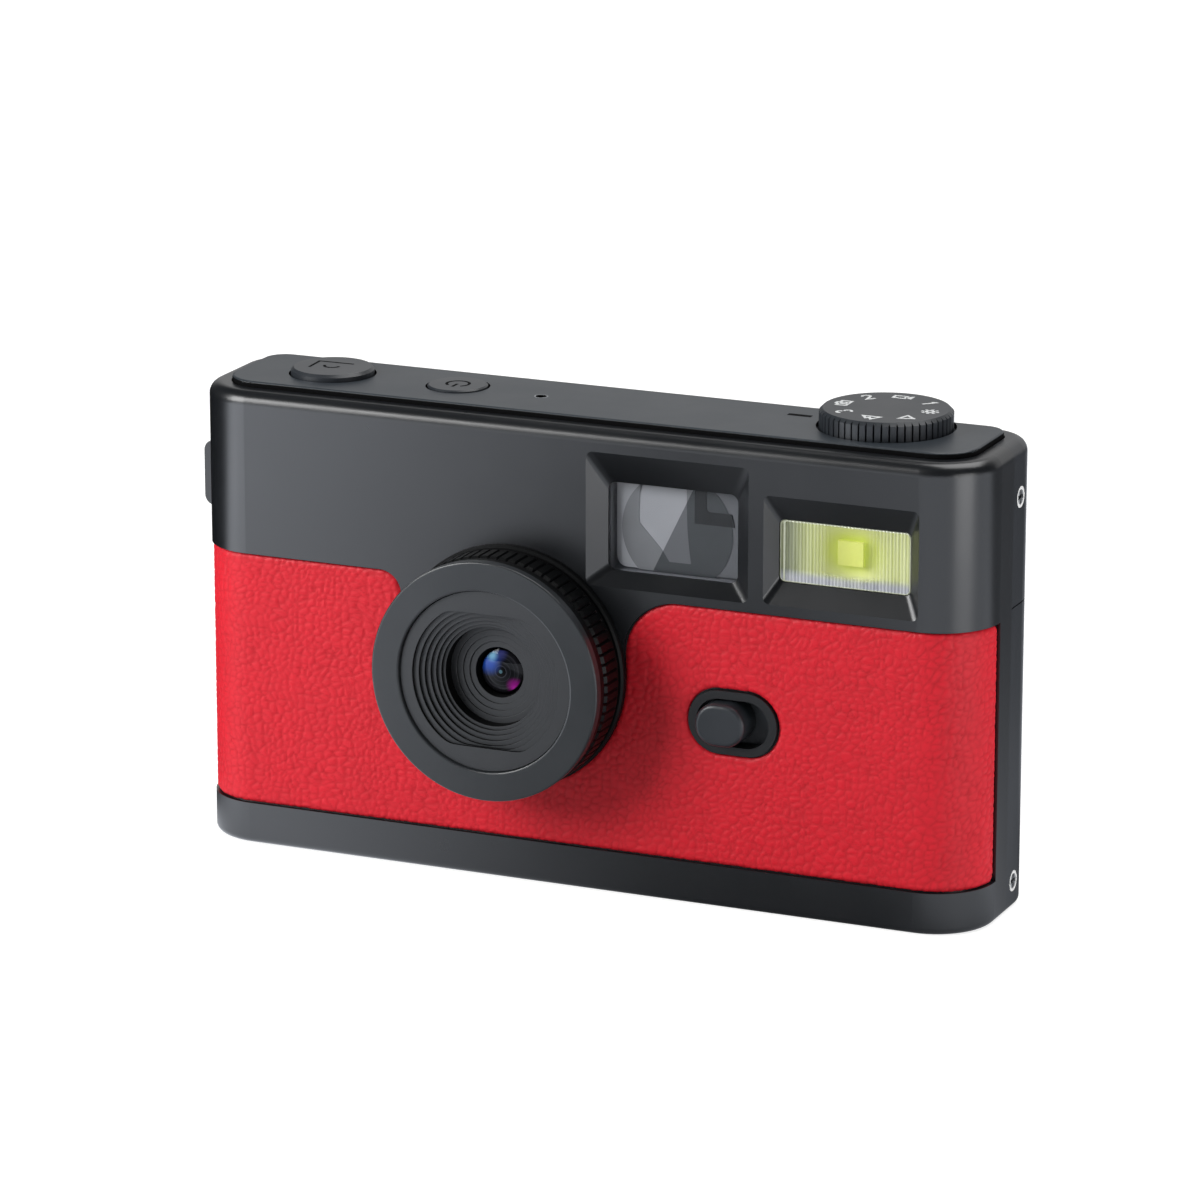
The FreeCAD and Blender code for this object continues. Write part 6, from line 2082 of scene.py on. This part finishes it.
@dataclass(frozen=True)
class Softbox:
    """A soft studio lamp: where it stands, where it points, its size and its power."""

    name: str
    place: Place
    target: Place
    size: Spot
    power: float
    only_shine: bool = False
    only_matt: bool = False

    def build(self) -> Object:
        """Adds the lamp.

        Returns:
            The lamp object.
        """
        lamp = bpy.data.lights.new(self.name, "AREA")
        lamp.shape = "RECTANGLE"
        lamp.size, lamp.size_y = self.size
        lamp.energy = self.power
        lamp_object = bpy.data.objects.new(self.name, lamp)
        bpy.context.scene.collection.objects.link(lamp_object)
        lamp_object.visible_camera = False
        lamp_object.visible_diffuse = not self.only_shine
        lamp_object.visible_glossy = not self.only_matt
        away = Vector(self.target) - Vector(self.place)
        lamp_object.matrix_world = Matrix.Translation(self.place) @ away.to_track_quat(
            "-Z", "Y"
        ).to_matrix().to_4x4()
        return lamp_object


@dataclass
class Studio:
    """The pale floor, the soft lamps and the camera at the photograph's angle."""

    azimuth: float = 23.604
    elevation: float = 15.603
    roll: float = 0.028
    distance: float = 833.27
    offset: Spot = (-1.108, 8.212)
    aim_height: float = 30.0
    lens: float = 179.0
    sensor: float = 36.0
    floor_colour: str = "b8b8b6"
    front_card: Card = (
        ((1.0, 0.0), -0.2, -0.13, 1.5, 1.0), ((1.0, -0.45), -0.07, 0.03, 2.6, 0.2),
        ((1.0, -0.45), 0.05, 0.075, 1.0, 7.0), ((1.0, 1.0), -0.05, 0.03, 1.0, 0.8),
        ((-0.4, 1.0), 0.0, 0.035, 1.0, 0.01), ((-1.0, 1.0), 0.11, 0.19, 1.0, 0.01)
    )
    rear_card: Card = (
        ((1.0, 0.0), -0.12, -0.04, 0.0, 1.5), ((1.0, 0.0), 0.04, 0.09, 1.0, 0.09),
        ((0.0, 1.0), 0.03, 0.08, 0.0, 1.0)
    )
    lamps: tuple[Softbox, ...] = (
        Softbox("key_left", (-0.42, -0.4, 0.32), (0.0, 0.0, 0.03), (0.34, 0.36), 3.95),
        Softbox("top_bank", (0.25, 0.3, 1.1), (0.0, 0.0, 0.03), (0.9, 0.9), 9.5),
        Softbox(
            "right_strip", (0.2, -0.08, 0.015), (0.058, -0.01, 0.04), (0.1, 0.2), 0.16,
            only_shine=True
        ),
        Softbox(
            "right_fill", (0.23, -0.02, 0.06), (0.05, 0.0, 0.03), (0.08, 0.08), 0.14, only_matt=True
        )
    )
    backdrop_start: Spot = (0.6, 0.85)
    backdrop_shine: Spot = (0.03, 0.68)
    backdrop_light: float = 0.15
    lift_reach: Spot = (0.3, 1.2)
    lift: Spot = (0.75, 1.1)
    floor_reach: float = 12.0
    clip: Spot = (0.05, 50.0)

    def shine(self, tree: Tree, place: Socket, card: Card) -> Socket:
        """Level of a card on the floor: the product of fades along level directions.

        Args:
            tree: The floor's node tree.
            place: Object coordinates in metres.
            card: The fades.

        Returns:
            The card's level at each place.
        """
        level = None
        for toward, first, last, low, high in card:
            along = add_node(
                tree, "VectorMath", {0: place, 1: (*toward, 0.0)}, operation="DOT_PRODUCT"
            )
            edge = add_node(
                tree, "MapRange",
                {
                    "Value": along.outputs["Value"], "From Min": first, "From Max": last,
                    "To Min": low, "To Max": high
                },
                interpolation_type="SMOOTHSTEP"
            ).outputs[0]
            if level is not None:
                edge = add_node(tree, "Math", {0: level, 1: edge}, operation="MULTIPLY").outputs[0]
            level = edge
        return level

    def backdrop(self) -> None:
        """Lights the world white for the camera and at a plain level for everything else.

        In reflections only its part behind the camera body is bright.
        """
        world = bpy.data.worlds.new("white_studio")
        bpy.context.scene.world = world
        world.use_nodes = True
        tree = world.node_tree
        tree.nodes.clear()
        path = add_node(tree, "LightPath").outputs
        seen = add_node(
            tree, "Math", {0: path["Is Camera Ray"], 1: path["Is Transmission Ray"]},
            operation="MAXIMUM"
        )
        toward = add_node(tree, "TexCoord").outputs["Generated"]
        depth = add_node(tree, "SeparateXYZ", {0: toward}).outputs[1]
        behind = add_node(
            tree, "MapRange",
            {
                "Value": depth, "From Min": self.backdrop_start[0],
                "From Max": self.backdrop_start[1], "To Min": self.backdrop_shine[0],
                "To Max": self.backdrop_shine[1]
            },
            interpolation_type="SMOOTHSTEP"
        )
        shine = add_node(tree, "Math", {0: path["Is Glossy Ray"], 1: behind}, operation="MULTIPLY")
        share = add_node(tree, "Math", {0: seen, 1: shine}, operation="MAXIMUM")
        plain = add_node(
            tree, "MapRange",
            {"Value": path["Is Glossy Ray"], "To Min": self.backdrop_light, "To Max": 0.0}
        )
        level = add_node(tree, "Math", {0: share, 1: plain}, operation="MAXIMUM")
        light = add_node(tree, "Background", {"Color": linear("ffffff"), "Strength": level})
        add_node(tree, "OutputWorld", {"Surface": light})

    def floor(self) -> Object:
        """Lays the pale floor, which brightens to white for the camera and keeps the shadow.

        In reflections it shows as a white card in front and a smaller one behind.

        Returns:
            The floor, marked as stage.
        """
        material = bpy.data.materials.new("pale_floor")
        material.use_nodes = True
        tree = material.node_tree
        tree.nodes.clear()
        path = add_node(tree, "LightPath").outputs
        seen = add_node(
            tree, "Math", {0: path["Is Camera Ray"], 1: path["Is Transmission Ray"]},
            operation="MAXIMUM"
        )
        place = add_node(tree, "TexCoord").outputs["Object"]
        front = self.shine(tree, place, self.front_card)
        rear = self.shine(tree, place, self.rear_card)
        card = add_node(tree, "Math", {0: front, 1: rear}, operation="ADD").outputs[0]
        shine = add_node(tree, "Math", {0: path["Is Glossy Ray"], 1: card}, operation="MULTIPLY")
        away = add_node(tree, "VectorMath", {0: place}, operation="LENGTH").outputs["Value"]
        far = add_node(
            tree, "MapRange",
            {
                "Value": away, "From Min": self.lift_reach[0], "From Max": self.lift_reach[1],
                "To Min": self.lift[0], "To Max": self.lift[1]
            }
        )
        lift = add_node(tree, "Math", {0: seen, 1: far}, operation="MULTIPLY")
        glow = add_node(tree, "Math", {0: lift, 1: shine}, operation="ADD")
        pale = add_node(
            tree, "Mix",
            {0: path["Is Glossy Ray"], 6: linear(self.floor_colour), 7: linear("000000")},
            data_type="RGBA"
        )
        cool = add_node(
            tree, "Mix", {0: path["Is Glossy Ray"], 6: linear("ffffff"), 7: linear("f1f6ff")},
            data_type="RGBA"
        )
        paint = add_node(
            tree, "BsdfPrincipled",
            {
                "Base Color": pale.outputs[2], "Roughness": 0.9, "Specular IOR Level": 0.0,
                "Emission Color": cool.outputs[2], "Emission Strength": glow
            }
        )
        add_node(tree, "OutputMaterial", {"Surface": paint})
        mesh = bpy.data.meshes.new("floor")
        reach = self.floor_reach
        corners = [(-reach, -reach, 0), (reach, -reach, 0), (reach, reach, 0), (-reach, reach, 0)]
        mesh.from_pydata(corners, [], [(0, 1, 2, 3)])
        mesh.materials.append(material)
        floor = bpy.data.objects.new("floor", mesh)
        bpy.context.scene.collection.objects.link(floor)
        return floor

    def camera(self) -> Object:
        """Sets the camera by the photograph's angle, distance and framing.

        Returns:
            The scene's camera.
        """
        a, e = math.radians(self.azimuth), math.radians(self.elevation)
        back = Vector((math.sin(a) * math.cos(e), -math.cos(a) * math.cos(e), math.sin(e)))
        right = Vector((math.cos(a), math.sin(a), 0.0))
        up = back.cross(right)
        turn = Matrix((right, up, back)).transposed()
        place = Vector((0, 0, self.aim_height)) + turn @ Vector((*self.offset, self.distance))
        data = bpy.data.cameras.new("camera")
        data.lens, data.sensor_width = self.lens, self.sensor
        data.clip_start, data.clip_end = self.clip
        camera = bpy.data.objects.new("camera", data)
        bpy.context.scene.collection.objects.link(camera)
        twist = Matrix.Rotation(math.radians(self.roll), 4, "Z")
        camera.matrix_world = Matrix.Translation(place * MM) @ turn.to_4x4() @ twist
        bpy.context.scene.camera = camera
        return camera

    def build(self) -> None:
        """Sets the view transform, then adds backdrop, floor, lamps and camera."""
        bpy.context.scene.view_settings.view_transform = "Standard"
        self.backdrop()
        self.floor()
        for lamp in self.lamps:
            lamp.build()
        self.camera()


def main() -> None:
    """Builds the studio and every sub-assembly in order."""
    logging.basicConfig(level=logging.INFO)
    Studio().build()
    Dressing().build()
    LeatherPanel().build()
    LensTurning().build()
    FinderOptics().build()
    FlashUnit().build()
    SignPrinting().build()


if __name__ == "__main__":
    main()
